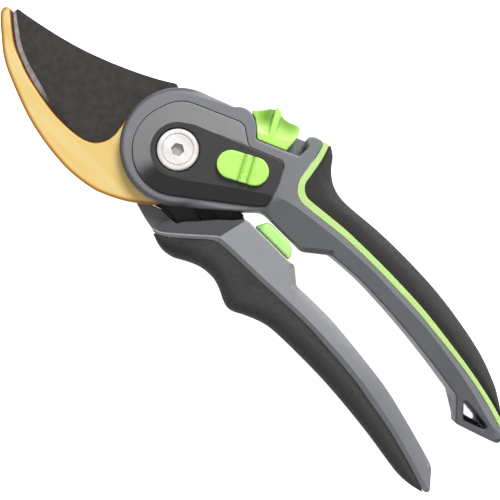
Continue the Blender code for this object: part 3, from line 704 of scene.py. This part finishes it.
LOWER_GRIP_OUTER = curve([
    (-26, -13.3), (-27.3, -17), (-27.7, -20), (-27, -23.6), (-25.5, -26.4), (-24, -29.2),
    (-22.6, -32.9), (-22.2, -36.4), (-22.4, -39.3), (-23.5, -42.6), (-25, -45.6), (-25.9, -48.3),
    (-25.6, -50.9), (-23.9, -54.3), (-22.3, -57.9), (-21, -61.8), (-20.4, -66.1), (-20.15, -74),
    (-20.3, -87.8), (-21.1, -100), (-22.5, -113), (-24.25, -124.5), (-24.8, -130),
    (-24.3, -135), (-23.2, -138.9),
])
LOWER_FOLD = curve([
    (-24.9, -12.3), (-24.1, -14.7), (-22, -17.5), (-19, -21), (-15, -25.5), (-12.4, -28.4),
    (-11, -30.3), (-10.5, -33), (-10.3, -40), (-10, -50), (-9.6, -60), (-9.4, -72),
    (-9.9, -86.1), (-11, -97.2), (-12.8, -108), (-15.4, -120), (-18.6, -131),
    (-21, -139),
])
LOWER_INNER = [
    *curve([
        (-14.5, -133.9), (-13, -129), (-9.5, -116), (-7, -105), (-5.3, -91.7),
        (-4, -78.3), (-3.8, -70), (-4.1, -60.2),
    ]),
    (0.4, -54.8), (-0.2, -52), (-0.2, -33),
]
LOWER_HEAD = [
    (-1, -31.5), (-4, -29), (-7, -25.6), (-10, -23), (-13, -20.4), (-16, -17.5),
    (-18, -16.7),
]
LOWER_TAIL = [(-22.4, -140.1), (-21.5, -140.5), (-19.9, -139.2), (-14.8, -134.7)]
HANG_HOLE = [
    (8.9, -127.7), (8.2, -127.3), (4.1, -131.6), (3.9, -132.6), (6.3, -138.7), (7.2, -138.9),
    (8, -137.6),
]
REAR_HOLE = [
    (9, -127.8), (8.4, -127.5), (5.7, -131.4), (5.3, -132.8), (6.7, -138.6), (7.3, -138.8),
    (8.2, -137.6),
]
LOCK_BAY = [(18, -4), (40, -4), (40, -31.5), (24, -31.5)]  # round the slot that the slider fills
LOCK_WAY = np.array([0.377, -0.926])
LOCK_TRAVEL = 2.6
LATCH_HEEL = np.array([28.2, -16.4])
LATCH_BACK, LATCH_FRONT, LATCH_LENGTH = 1.2, 2.4, 11  # how far it reaches from its heel
SPRING_LEG = (6.02, 5.27)  # where the spring's upper leg goes through the blade
SCREWS_UPPER = ((15.5, -68), (12.9, -114))
SCREWS_LOWER = ((-8, -58), (-8, -84), (-14.35, -122))
WELL_RADIUS = 2.45
FRONT_BOLT_ROOM, REAR_BOLT_ROOM = 7.6, 7.4  # radii
HUB_BORE = ring_of(PIVOT, 5.4, 48)
BLADE_ROOM = [
    (32, 5), (30, 34), (-34, 34), (-34, -34), (0.8, -34), (0.8, -29.5), *arc(PIVOT, 15.6, -80, 6, 16),
]


# --- Upper handle ---


def upper_plan(right_side, corner):
    """The upper handle's outline; the corner beside the hang hole is drafted front to rear."""
    housing = arc(*HOUSING, 16, 217, 90)
    return softened([*housing, *INNER, corner, *TAIL, *BAND_LEFT[::-1], *right_side], 2)


def edge_slope(points, a, b, width, slope):
    """How far a chamfer along the edge from a to b lowers the surface."""
    a, b = np.array(a), np.array(b)
    way = (b - a) / np.hypot(*(b - a))
    along = (points - a) @ way
    off = np.abs(way[0] * (points[:, 1] - a[1]) - way[1] * (points[:, 0] - a[0]))
    end = np.hypot(*(b - a))
    near = ease(along, -0.6, 0.3) * (1 - ease(along, end - 0.3, end + 0.6))
    return np.maximum(0, width - off) * slope * near


def upper_top(points):
    flat = SHELL_TOP - 0.4 * ease(-points[:, 1], 26, 44)
    left = np.maximum(0, -gap_to(points, UPPER_FOLD[::-1]))
    facet = left * 0.34 * ease(-points[:, 1], 33.0, 35.5)
    recess = np.where(inside(points, grown(COVER, COVER_FIT)), 0.9, 0.0)
    slant = edge_slope(points, (5.6, -53.7), (11.6, -61.2), 1.7, 0.9)
    return flat - facet - recess - slant


def make_upper_handle(paints):
    notch = [(31.8, -30.1), (27.2, -30.1), (25.2, -25.6), (20.9, -15.7), (23, -14), (25, -11.5)]
    shoulder = [(26.4, -7.8), (25.8, -5.4), (24.4, -3.6), (23.5, -3)]
    bump = [(36.2, -31), (35.5, -28.9), (34, -27.6), (32.6, -27.5), (32, -28.7)]
    slant_fold = spaced([(4, -51), (7.2, -53), (13, -60.1), (13.2, -61.5)])
    throat_fold = spaced([(3, -34.3), (12, -33.6)])
    front = plate(
        "upper_front_shell", upper_plan([*bump, *notch, *shoulder], (1, -131.1)), SPLIT + 0.05,
        upper_top, paints["grey"], front_rim, 0.15,
        folds=[UPPER_FOLD, grown(COVER, 0.3), grown(COVER, 0.38), slant_fold, throat_fold],
        holes=[softened(HANG_HOLE, 2, 0.4)], steps=6,
    )
    carve(
        front,
        prism(BLADE_ROOM, -1, BLADE_TOP + 0.9),
        prism(grown(hook_plan(), FIT), HOOK_LOW - FIT, HOOK_TOP + FIT),
        prism(ring_of(PIVOT, FRONT_BOLT_ROOM), 5, 30),
        tone=upper_tone,
    )
    place(front, UPPER, "grey_shell", "upper_shell_front")

    ledge = [(33.6, -27.4), (32.6, -24.8), (29.6, -16.6), (27.2, -9.3)]
    rear = plate(
        "upper_rear_shell", upper_plan([*bump[:3], *ledge, *shoulder], (1.9, -133.8)), SHELL_LOW,
        rear_half_top, paints["grey"], 0.15, rear_rim,
        folds=[spaced([(x, -6.0), (x + 7.8, -32.0)]) for x in (23.2, 23.5)],
        holes=[softened(REAR_HOLE, 2, 0.4), *screw_wells(SCREWS_UPPER)], steps=5,
    )
    carve(
        rear,
        prism(BLADE_ROOM, BLADE_LOW - 0.7, ABOVE),
        prism(grown(COVER, COVER_FIT), BELOW, REAR_COVER_TOP + 0.2),
        prism(ring_of(PIVOT, REAR_BOLT_ROOM), BELOW, 30),
        prism(latch_room(), low_of("lock_latch") - FIT, ABOVE),
        tone=upper_tone,
    )
    place(rear, UPPER, "grey_shell", "upper_shell_rear")

    edge_top = SHELL_TOP - 0.3
    strip = between_chains("accent_strip", BAND_LEFT, BAND_RIGHT, edge_top, 0.8, paints["green_band"])
    place(strip, UPPER, "green_band", "accent_band")
    grip = grip_loft("upper_soft_grip", BAND_RIGHT, GRIP_OUTER, as_function(edge_top), paints["grip"])
    place(grip, UPPER, "soft_grip", "upper_grip")


def front_rim(points):
    """Crisp against the green band, and rounder round the housing."""
    round_rim = 0.7 + 1.7 * ease(points[:, 1] - 0.9 * points[:, 0], -22, -8)
    return np.where(np.abs(gap_to(points, BAND_LEFT)) < 0.3, 0.2, round_rim)


def screw_wells(places):
    return [ring_of(at, WELL_RADIUS, 32) for at in places]


def latch_room():
    """The room under the slider for the latch and its travel, with FIT to spare all round."""
    inward = np.array([LOCK_WAY[1], -LOCK_WAY[0]])
    back, front = -LATCH_BACK - FIT, LATCH_FRONT + LOCK_TRAVEL + FIT
    corners = ((back, -FIT), (front, -FIT), (front, LATCH_LENGTH + FIT), (back, LATCH_LENGTH + FIT))
    return [tuple(LATCH_HEEL + LOCK_WAY * along + inward * across) for along, across in corners]


def rear_rim(line):
    """The rear edges are well rounded, and the screw wells only eased."""
    wells = [np.hypot(line[:, 0] - x, line[:, 1] - y) for x, y in (*SCREWS_UPPER, *SCREWS_LOWER)]
    return np.where(np.min(wells, axis=0) < WELL_RADIUS + 0.15, 0.2, 1.0)


def rear_half_top(points):
    outer_step = np.where(gap_to(points, [(23.35, -6), (31.15, -32)]) < 0, 0.9, 0.0)
    near_lock = inside(points, LOCK_BAY)
    return SPLIT - 0.05 - outer_step * near_lock


def upper_tone(p):
    """Painted shade on the walls of the hang hole, on the lock's ledge, on the inner facet (deeper
    towards the tail) and on the housing's rounded rim on the side away from the light.
    """
    near = np.abs(gap_to(p[:, :2], HANG_HOLE, closed=True)) - 1.6 * (p[:, 2] < SPLIT)
    deep = 1.25 * ease(SHELL_TOP - 1.2 - p[:, 2], 0.0, 1.0)
    ledge = (p[:, 2] < SPLIT) & inside(p[:, :2], LOCK_BAY)
    inner = 0.42 * (gap_to(p[:, :2], UPPER_FOLD) > 0) * ease(-p[:, 1], 33.0, 35.0)
    fades = inner * (1 + 0.3 * ease(-p[:, 1], 100, 120))
    off = np.hypot(p[:, 0] - HOUSING[0][0], p[:, 1] - HOUSING[0][1])
    ring = 1.0 * ease(off, 17.9, 19.3) * ease(p[:, 1] - 0.9 * p[:, 0], -12, -2)
    dark = np.maximum(np.where(near < 0.6, deep, 0.0), np.maximum(0.1 * ledge, fades))
    return BASE_TONE + (1 - BASE_TONE) * np.clip(np.maximum(dark, ring), 0, 1)


def between_chains(name, one, two, high, low, material):
    """A slim strip between two chains, with softened corners."""
    count = 150
    one, two = (np.array(spaced(line, count=count)) for line in (one, two))
    across = two - one
    width = lengths(across)[:, None]
    across = across / width
    one, width = one + across * 0.12, width - 0.24
    sections = []
    corner = 0.3
    profile = [(0, low + corner), (0, high - corner), (corner * 0.3, high - corner * 0.3), (corner, high)]
    for i in range(count):
        section = [*profile, *((width[i] - x, z) for x, z in profile[::-1])]
        section += [(width[i] - corner, low), (corner, low)]
        sections.append([(*(one[i] + across[i] * x), z) for x, z in section])
    # painted shade: the strip darkens down its sides below its top
    return loft(name, sections, material, lambda p: ease(high - p[:, 2], 0.05, 1.0) * 0.8)


def grip_loft(name, edge, outer, surface, material):
    """A soft grip: flush with its shell, crowned, and rolled over towards the palm on both faces."""
    count = 190
    edge, outer = (np.array(spaced(line, count=count)) for line in (edge, outer))
    heights = surface(edge)
    sections = []
    for i in range(count):
        across = outer[i] - edge[i]
        width = max(np.hypot(*across), 0.5)
        across = across / width
        start = edge[i] + across * 0.03
        width -= 0.03
        crown = min(1.0, width / 6)
        flush = heights[i] - 0.05
        peak = min(GRIP_TOP, flush + 1.1 * crown)
        roll = min(5.6, width * 0.66)
        front = [(0.0, flush - 0.3), (0.08, flush - 0.07), (0.45, flush)]
        for k in range(1, 5):
            share = k / 4
            rise = (peak - flush) * math.sin(math.pi / 2 * share)
            front.append((0.45 + (width - roll - 0.45) * share, flush + rise))
        for k in range(1, 12):
            turn = math.pi / 2 * k / 11
            drop = roll * 1.05 * (1 - math.cos(turn))
            front.append((width - roll + roll * math.sin(turn), peak - drop))
        rear = []
        for k in range(7, 0, -1):
            turn = math.pi / 2 * k / 7
            rear.append((width - roll * 0.8 * (1 - math.sin(turn)), roll * 0.8 * (1 - math.cos(turn))))
        rear += [(width - roll * 0.8, 0.0), (0.3, 0), (0.08, 0.1), (0, 0.4)]
        sections.append([(*(start + across * x), z) for x, z in [*front, *rear]])

    # painted light: lighter towards the grip's crown
    def tone(p):
        return ease(p[:, 2], GRIP_TOP - 3.0, GRIP_TOP - 0.3)

    return loft(name, sections, material, tone, math.radians(60))


# --- Covers, hook, pivot ---


def cover_top(points):
    outside = np.where(inside(points, PLATEAU), 0.0, np.abs(gap_to(points, PLATEAU, closed=True)))
    return COVER_TOP - 0.13 * outside


def cover_tone(p):
    """Light on the facet that faces the light, fading to dark round the housing's left side."""
    turn = np.degrees(np.arctan2(p[:, 1], p[:, 0]))
    turn = np.where(turn < -90, turn + 360, turn)
    facet = ~inside(p[:, :2], PLATEAU)
    light = (1 - ease(turn, 146, 184)) * (turn > -47)
    return np.where(facet, light, 0.3)


def make_covers(paints):
    bore = ring_of(PIVOT, REAR_BOLT_ROOM, 64)
    front = plate(
        "front_cover", COVER, SHELL_TOP - 0.8, cover_top, paints["cover"], 0.3, 0.1,
        folds=[[*PLATEAU, PLATEAU[0]]], holes=[bore], grid=1.1, tone=cover_tone,
    )
    place(front, UPPER, "dark_cover", "cover_front")
    rear = plate(
        "rear_cover", COVER, rear_cover_low, REAR_COVER_TOP, paints["cover"], 0.1, 0.3, holes=[bore],
    )
    place(rear, UPPER, "dark_cover", "cover_rear")


def rear_cover_low(points):
    """Flat, and drawn in towards its rim."""
    return 0.5 - 0.5 * ease(-gap_to(points, COVER, closed=True), 1.0, 3.0)


HOOK_OUTER = curve([
    (-6.7, 76.8), (-8.4, 77), (-10.6, 75.5), (-14.7, 70.9), (-18.7, 66), (-21.4, 61.3),
    (-23.8, 55.7), (-26.1, 49.8), (-28, 44.1), (-29.3, 38.7), (-30.3, 32.8), (-30.9, 26.7),
    (-31, 22), (-30.5, 16.6), (-29.4, 11.2), (-27.7, 6.9), (-25.4, 2.4), (-22.9, -1.4),
    (-20, -5.2), (-17.9, -7.4),
])
HOOK_INNER = curve([
    (-5.6, 20.9), (-8.7, 20.4), (-12, 20.1), (-15.3, 20.9), (-18, 22.9), (-19.7, 26),
    (-20.5, 30), (-20.8, 34.7), (-20.7, 39.3), (-20, 44.7), (-19, 50), (-17.7, 55.3),
    (-16, 60), (-14, 64.7), (-11.3, 68.7), (-8.6, 72), (-5.9, 75.1),
])


def hook_plan():
    return softened([*HOOK_OUTER, (-16.8, -7.5), *arc(PIVOT, 14.5, 220, 420, 50), *HOOK_INNER], 2)


def hook_top(points):
    """Flat, with a ground bevel along the inner edge."""
    return HOOK_TOP - 0.9 * np.maximum(0, 0.8 - np.abs(gap_to(points, HOOK_INNER)))


def hook_tone(p):
    # painted shade: dark brown along the inner edge and a darker orange along the rounded outer edge
    inner = np.abs(gap_to(p[:, :2], HOOK_INNER))
    outer = np.abs(gap_to(p[:, :2], HOOK_OUTER))
    return np.maximum(1 - ease(inner, 0.15, 0.75), 0.75 * (1 - ease(outer, 0.2, 1.7)))


BLADE_EDGE = curve([
    (-16.5, 9), (-20, 16), (-22.2, 23), (-22.9, 30), (-22.3, 38), (-20.8, 46.1),
    (-19.4, 51.4), (-18, 56.7), (-16.3, 61.4), (-14.1, 65.9), (-11.2, 70.4), (-6.8, 75.9),
])
BLADE_GROUND = curve([
    (-16.6, 20), (-19.6, 24), (-20.4, 31), (-19.9, 39), (-18.6, 46), (-17.2, 51.1),
    (-15.8, 56.3), (-14.3, 60.9), (-12.2, 65.3), (-9.2, 69.7), (-5.3, 74.9),
])


def blade_plan():
    spine = curve([
        (-4.3, 74.9), (-3.9, 72.1), (-3, 67.3), (-1.6, 60.7), (-0.2, 55.1), (1.5, 49.3),
        (4.2, 41.8), (7, 35.1), (9.8, 29.1), (13, 23), (16.2, 17.8),
    ])
    tang = [
        (-6, -17.6), (-6.9, -21.3), (-7.8, -25), (-6, -28.4), (-3.6, -33), (-3.6, -49),
        (-10.4, -49), (-10.8, -33), (-12.4, -26), (-11.2, -21.3), (-9.6, -16.6),
    ]
    hub = arc(PIVOT, 14.0, 40, -96, 40)
    heel = arc(PIVOT, 14.0, 228, 160, 16)
    return softened([*spine, *hub, *tang, *heel, *BLADE_EDGE], 1)


def blade_top(points):
    past = np.maximum(0, -gap_to(points, BLADE_GROUND))
    near_edge = np.abs(gap_to(points, BLADE_EDGE)) < 3.5
    return BLADE_TOP - np.minimum(1.9, 0.75 * past) * near_edge * ease(points[:, 1], 12.0, 24.0)


def blade_tone(p):
    """The ground strip along the edge, which runs out before the hook's throat."""
    off = -gap_to(p[:, :2], BLADE_GROUND)
    near_edge = np.abs(gap_to(p[:, :2], BLADE_EDGE)) < 3.6
    return ease(off, -0.02, 0.02) * near_edge * ease(p[:, 1], 43.0, 52.0)


def make_blades(paints):
    hook = plate(
        "hook_steel", hook_plan(), HOOK_LOW, hook_top, paints["gold"], 0.35, 0.2,
        folds=[grown_line(HOOK_INNER, 0.8), *(grown_line(HOOK_OUTER, d) for d in (0.6, 1.1, 1.7))],
        holes=[HUB_BORE], grid=1.5, tone=hook_tone,
    )
    place(hook, UPPER, "gold_hook", "hook_blade")
    blade = plate(
        "blade_steel", blade_plan(), BLADE_LOW, blade_top, paints["blade"], 0.2, 0.2,
        folds=[BLADE_GROUND], holes=[HUB_BORE, ring_of(SPRING_LEG, 1.0, 24)], tone=blade_tone,
    )
    place(blade, LOWER, "dark_blade", "cutting_blade")


def grown_line(line, distance):
    """An open line moved to its left by the distance."""
    line = np.array(line)
    way = np.gradient(line, axis=0)
    way /= lengths(way)[:, None]
    return [tuple(q) for q in line + distance * np.stack([-way[:, 1], way[:, 0]], axis=1)]


def bolt_tone(p):
    """Painted shade in the socket, in the turned ring and round the rim."""
    off = np.hypot(p[:, 0], p[:, 1])
    socket = 0.6 * (off < 2.32) * ease(BOLT_TOP - 0.3 - p[:, 2], 0, 0.6)
    ring = 0.35 * (np.abs(off - 5.2) < 0.22)
    rim = 0.3 * ease(off, BOLT_RADIUS - 0.7, BOLT_RADIUS)
    return np.maximum(socket, np.maximum(ring, rim))


def make_bolt(paints):
    r = BOLT_RADIUS
    face = [
        (0, 0.12), (2.9, 0.1), (4.9, 0.05), (5.1, 0.25), (5.35, 0.25), (5.5, 0.02),
        (r - 0.9, 0.03), (r - 0.45, 0.16), (r - 0.12, 0.5), (r, 0.9),
    ]
    shank = [(r, 20.15), (4, 20.15), (4, 2.2), (3.4, 1.6), (0, 1.6)]
    profile = [(radius, BOLT_TOP - drop) for radius, drop in face] + shank
    bolt = lathe("bolt_head", profile, PIVOT, paints["bolt"])
    carve(bolt, prism(ring_of(PIVOT, 2.3, 6), BOLT_TOP - 1.5, BOLT_TOP + 1), tone=bolt_tone)
    place(bolt, UPPER, "bright_steel", "pivot_bolt")


# --- Lower handle ---


def head_fall(points):
    """How far above the brow line, towards the blades, a point of the lower handle lies."""
    return (points[:, 0] + 10.5) * 0.22 + (points[:, 1] + 30.25) * 0.976


def lower_top(points):
    left = np.maximum(0, gap_to(points, LOWER_FOLD))
    slant = edge_slope(points, (0.4, -54.8), (-4.1, -60.2), 2.2, 0.9)
    inner = 0.8 * np.maximum(0, 1.0 - np.abs(gap_to(points, LOWER_INNER[:-2])))
    return LOWER_TOP - 0.42 * left - 0.3 * np.maximum(0, head_fall(points)) - slant - inner


def make_lower_handle(paints):
    side = [*LOWER_EDGE, *LOWER_TAIL, *LOWER_INNER, *LOWER_HEAD]
    slant_fold = spaced([(1.2, -51.6), (-1.5, -53.6), (-6.6, -59.3), (-6.8, -61)])
    front = plate(
        "lower_front_shell", softened([(-18.1, -13.6), (-25.2, -11.7), *side], 2), LOWER_SPLIT + 0.05,
        lower_top, paints["grey"], lower_rim, 0.15,
        folds=[LOWER_FOLD, *head_folds(), slant_fold], grid=1.6, tone=lower_tone,
    )
    place(front, LOWER, "grey_shell", "lower_shell_front")
    horn = [
        (-18.3, -9), (-20, -4.2), (-21.1, -0.5), (-22.3, 0.2), (-23, -2), (-24.4, -6.9),
        (-25.2, -11.2),
    ]
    rear = plate(
        "lower_rear_shell", softened([*horn, *side], 2), SHELL_LOW, LOWER_SPLIT - 0.05, paints["grey"],
        0.5, rear_rim, holes=screw_wells(SCREWS_LOWER), steps=5, tone=lower_tone,
    )
    carve(
        rear,
        prism(grown(blade_plan(), 0.35), BLADE_LOW - FIT, ABOVE),
        prism(carrier_room(), 2.7, BLADE_LOW),
    )
    place(rear, LOWER, "grey_shell", "lower_shell_rear")
    grip = grip_loft("lower_soft_grip", LOWER_EDGE, LOWER_GRIP_OUTER, lower_top, paints["grip"])
    place(grip, LOWER, "soft_grip", "lower_grip")

    nose = curve([(3.8, -37.8), (4.6, -39.2), (4.75, -42), (4.75, -47.5), (4.2, -49.6), (2.5, -51.6)])
    outline = softened([(0.3, -36.1), *nose, (0.3, -52.2)], 2, 0.4)
    bumper = plate(
        "stop_bumper", outline, BUMPER_LOW, BUMPER_TOP, paints["green_soft"], 1.1, 0.6, steps=6,
        # painted shade at the bumper's upper end
        tone=lambda p: ease(p[:, 1], -39.0, -36.6) * 0.8,
    )
    place(bumper, LOWER, "green_soft", "bumper")


def lower_rim(points):
    """Crisp against the grip."""
    return np.where(np.abs(gap_to(points, LOWER_EDGE)) < 0.3, 0.12, 0.4)


def head_folds():
    """The brow, where the handle's main face breaks down towards the head."""
    brow = spaced([(-10.52, -30.25), (-3, -31.94), (3, -33.3)])
    return [brow, grown_line(LOWER_FOLD[:40], 0.45)]


def carrier_room():
    """The pocket in the rear shell that holds the black insert."""
    return [
        *arc(PIVOT, 20.4, 206, 222, 6), (-11.3, -16.9), (-0.3, -29.5), (0.2, -31), (-2.1, -33.8),
        (-10.6, -32), (-15.6, -24.9), (-17.9, -19.7), (-18.2, -11.3),
    ]


def make_carrier(paints):
    """The black insert: a floor under the tang, and raised walls round a pocket on either side."""
    left = [
        *arc(PIVOT, 14.25, 195, 228, 12), (-9.75, -16.6), (-11.3, -21.2), (-12.95, -20.2),
        (-15.95, -17.35), (-17.9, -16.55), (-18.05, -9.4), (-19, -6.7), (-19, -4.9), (-15.5, -3.4),
    ]
    right = [
        (-1, -14.7), (-5.9, -17.8), (-6.75, -21.3), (-7.55, -25.1), (-4.1, -28.6), (-1.1, -31.2),
        (0.3, -30.6), (0.4, -29.4), (1.8, -17.5), (1.4, -15),
    ]
    black = paints["black"]
    floor = grown(softened(carrier_room(), 1), -0.15)
    parts = [plate("insert_floor", floor, low_of("blade_carrier"), BLADE_LOW - 0.35, black, 0.15, 0.2)]
    for side, outline in (("left", left), ("right", right)):
        wing = softened(outline, 1, 0.4)
        parts.append(plate(
            f"insert_wing_{side}", wing, BLADE_LOW - 0.03, lambda q, w=wing: wing_top(q, w), black,
            0.12, 0.05, folds=[grown([*wing, wing[0]], inset) for inset in (-0.5, -0.75)], grid=0.9,
        ))
    bridge = [
        *arc(PIVOT, 14.8, 200, 268, 30), *arc(PIVOT, 24.0, 266, 236, 16),
        *arc(PIVOT, 21.4, 232, 206, 12), (-17.2, -7.2),
    ]
    sheet = (BLADE_LOW - 0.34, BLADE_LOW - 0.05)
    parts.append(plate("insert_bridge", softened(bridge, 1), *sheet, black, 0.05, 0.05))
    for part in parts:
        place(part, LOWER, "black_insert")
    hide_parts("blade_carrier")


def wing_top(points, outline):
    """A rim round a shallow pocket."""
    deep = ease(np.abs(gap_to(points, outline, closed=True)), 0.5, 0.75)
    return BLADE_TOP + 0.2 - 1.2 * deep


def lower_tone(p):
    """Painted light and shade: the head in painted shade with a painted highlight line along its lower
    rim, the main facet painted a little lighter and darker towards the tail, the strip beside the grip a
    little darker, and the rear half darker, as painted shade.
    """
    up = head_fall(p[:, :2])
    right = -gap_to(p[:, :2], LOWER_FOLD)
    front = p[:, 2] > LOWER_SPLIT
    main = 0.08 + 0.2 * ease(-p[:, 1], 70, 118)
    head = np.where(right > 0.45, 0.97, 0.05) * ease(up, -0.02, 0.02)
    found = np.where(up > 0, head, main)
    found = np.where(right < 0, 0.36, found)
    return np.where(front, found, 0.52)


# --- Lock and switch ---

SWITCH_ENDS = ((9, -16), (12.85, -23.25))
RIB_MIDDLE = np.array([11.4, -20.6])
RIB_ACROSS = np.array([0.47, -0.883])
RIDGE_MIDDLE = np.array([28.6, -16.8])
RIDGE_WAY = np.array([0.876, 0.483])
RIDGE_ACROSS = np.array([0.483, -0.876])


def stadium_of(a, b, radius):
    """A round-ended outline from a to b."""
    side = math.degrees(math.atan2(b[1] - a[1], b[0] - a[0])) + 90
    return arc(b, radius, side - 180, side) + arc(a, radius, side, side + 180)


def switch_top(points):
    off = np.abs((points - RIB_MIDDLE) @ RIB_ACROSS)
    groove = np.where(off < 1.15, 0.0, 0.62 * np.clip(1 - (off - 1.3) / 1.7, 0, 1))
    return SWITCH_TOP - groove


def switch_tone(p):
    # painted shade in the grooves on either side of the rib
    off = (p[:, :2] - RIB_MIDDLE) @ RIB_ACROSS
    far = np.abs(off)
    return np.where(far > 1.2, 0.85 * (1 - ease(far, 1.3, 2.4)), 0.0)


def across_line(middle, way, across, shift, reach):
    """A fold line along the way, shifted across it from the middle."""
    start = middle + across * shift - way * reach
    end = middle + across * shift + way * reach
    return spaced([tuple(start), tuple(end)])


def by_ridge(points):
    """Each point's place along the slider's ridge and across it."""
    off = points - RIDGE_MIDDLE
    return off @ RIDGE_WAY, off @ RIDGE_ACROSS


def scoop(off, full, fade, low, high):
    """A scoop beside the ridge, full from there on and fading by a share between low and high."""
    return ease(off, 0.9, full) * (1 - fade * ease(off, low, high))


def slider_top(points):
    s, t = by_ridge(points)
    deep = np.maximum(0, s + 3.4) * 0.62
    return SLIDER_TOP - deep * np.maximum(scoop(-t, 1.5, 0.75, 2.0, 7.0), scoop(t, 1.5, 0.6, 2.5, 8.0))


def slider_tone(p):
    s, t = by_ridge(p[:, :2])
    shade = np.maximum(scoop(-t, 1.4, 0.6, 2.5, 8.0), 0.9 * scoop(t, 1.4, 0.3, 3.0, 8.0))
    return shade * ease(s, -4.0, 3.0)


def make_controls(paints):
    ways = (RIDGE_MIDDLE, RIDGE_WAY, RIDGE_ACROSS)
    waved = curve([
        (28.7, -9), (30.7, -10.4), (32.8, -11.3), (34, -14.1), (33.5, -16.4), (33.5, -19),
        (34.2, -21.2), (34.6, -23.4),
    ])
    outline = [
        (26.7, -8.1), (27.5, -7.6), *waved, (32.7, -24.4), (31, -25.1), (25.6, -25.4),
        (21.5, -15.8), (24, -13.2), (26.2, -10.2),
    ]
    slider = plate(
        "thumb_slider", softened(outline, 1, 0.4), SLIDER_LOW, slider_top, paints["green_control"],
        0.35, 0.3, grid=0.6, tone=slider_tone,
        folds=[across_line(*ways, shift, 12) for shift in (-1.5, -0.9, 0.9, 1.5)],
    )
    place(slider, "lock", "green_control", "lock_slider")
    ways = (RIB_MIDDLE, np.array([0.883, 0.47]), RIB_ACROSS)
    button = plate(
        "switch_cap", softened(stadium_of(*SWITCH_ENDS, 4.7), 0, 0.5), COVER_TOP + 0.2, switch_top,
        paints["green_control"], 0.4, 0.2, grid=0.8, tone=switch_tone,
        folds=[across_line(*ways, shift, 7) for shift in (-1.3, -1.15, 1.15, 1.3)],
    )
    place(button, "opening_switch", "green_control", "width_switch")


# --- What stays as CAD ---


def paint_cad(paints):
    fasteners = [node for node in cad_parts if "rivet" in node or "screw" in node]
    finish = {
        "steel": ["pivot_nut", "front_washer", "lock_latch", *fasteners],
        "bronze": ["pivot_bush"],
        "wire": ["torsion_spring"],
        "washer": ["thrust_washer", "rear_washer"],
        "black": ["opening_stop"],
    }
    for key, nodes in finish.items():
        for node in nodes:
            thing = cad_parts[node]
            thing.data.materials.clear()
            thing.data.materials.append(paints[key])


# --- Stage ---


def make_stage():
    floor_paint = Paint("pale_floor", 0.9)
    floor_paint.colour(floor_paint.grained([3], level(0.9), level(0.92), 0.3))
    floor_paint.shader.inputs["Emission Color"].default_value = (1, 1, 1, 1)
    floor_paint.shader.inputs["Emission Strength"].default_value = 0.9
    mesh = bpy.data.meshes.new("floor")
    reach = 1.6
    corners = [(x * reach, y * reach, 0) for x, y in ((-1, -1), (1, -1), (1, 1), (-1, 1))]
    mesh.from_pydata(corners, [], [(0, 1, 2, 3)])
    mesh.materials.append(floor_paint.material)
    floor = linked(bpy.data.objects.new("floor", mesh))
    floor.location.z = -0.0003

    world = bpy.data.worlds.new("studio")
    world.use_nodes = True
    background = world.node_tree.nodes["Background"].inputs
    background["Color"].default_value = (1, 1, 1, 1)
    background["Strength"].default_value = 0.36
    bpy.context.scene.world = world
    suns = (("key", (0.80, 0.25, 0.72), 2.9, 28), ("fill", (-0.5, -0.3, 1.0), 0.25, 60))
    for name, way, power, spread in suns:
        light = bpy.data.lights.new(name, "SUN")
        light.energy = power
        light.angle = math.radians(spread)
        lamp = linked(bpy.data.objects.new(name, light))
        lamp.rotation_euler = Vector(way).to_track_quat("Z", "Y").to_euler()

    camera = bpy.data.cameras.new("camera")
    camera.lens = 59.5
    camera.sensor_width = 36
    eye = linked(bpy.data.objects.new("camera", camera))
    up = Vector((1, 1, 0)).normalized()
    back = Vector((0, 0, 1))
    right = up.cross(back)
    turned = Matrix((right, up, back)).transposed().to_4x4()
    eye.matrix_world = Matrix.Translation((-0.00659, -0.04049, 0.296)) @ turned
    bpy.context.scene.camera = eye
    bpy.context.scene.view_settings.view_transform = "Standard"


def main():
    paints = make_materials()
    make_stage()
    make_upper_handle(paints)
    make_covers(paints)
    make_blades(paints)
    make_bolt(paints)
    make_lower_handle(paints)
    make_carrier(paints)
    make_controls(paints)
    paint_cad(paints)


main()
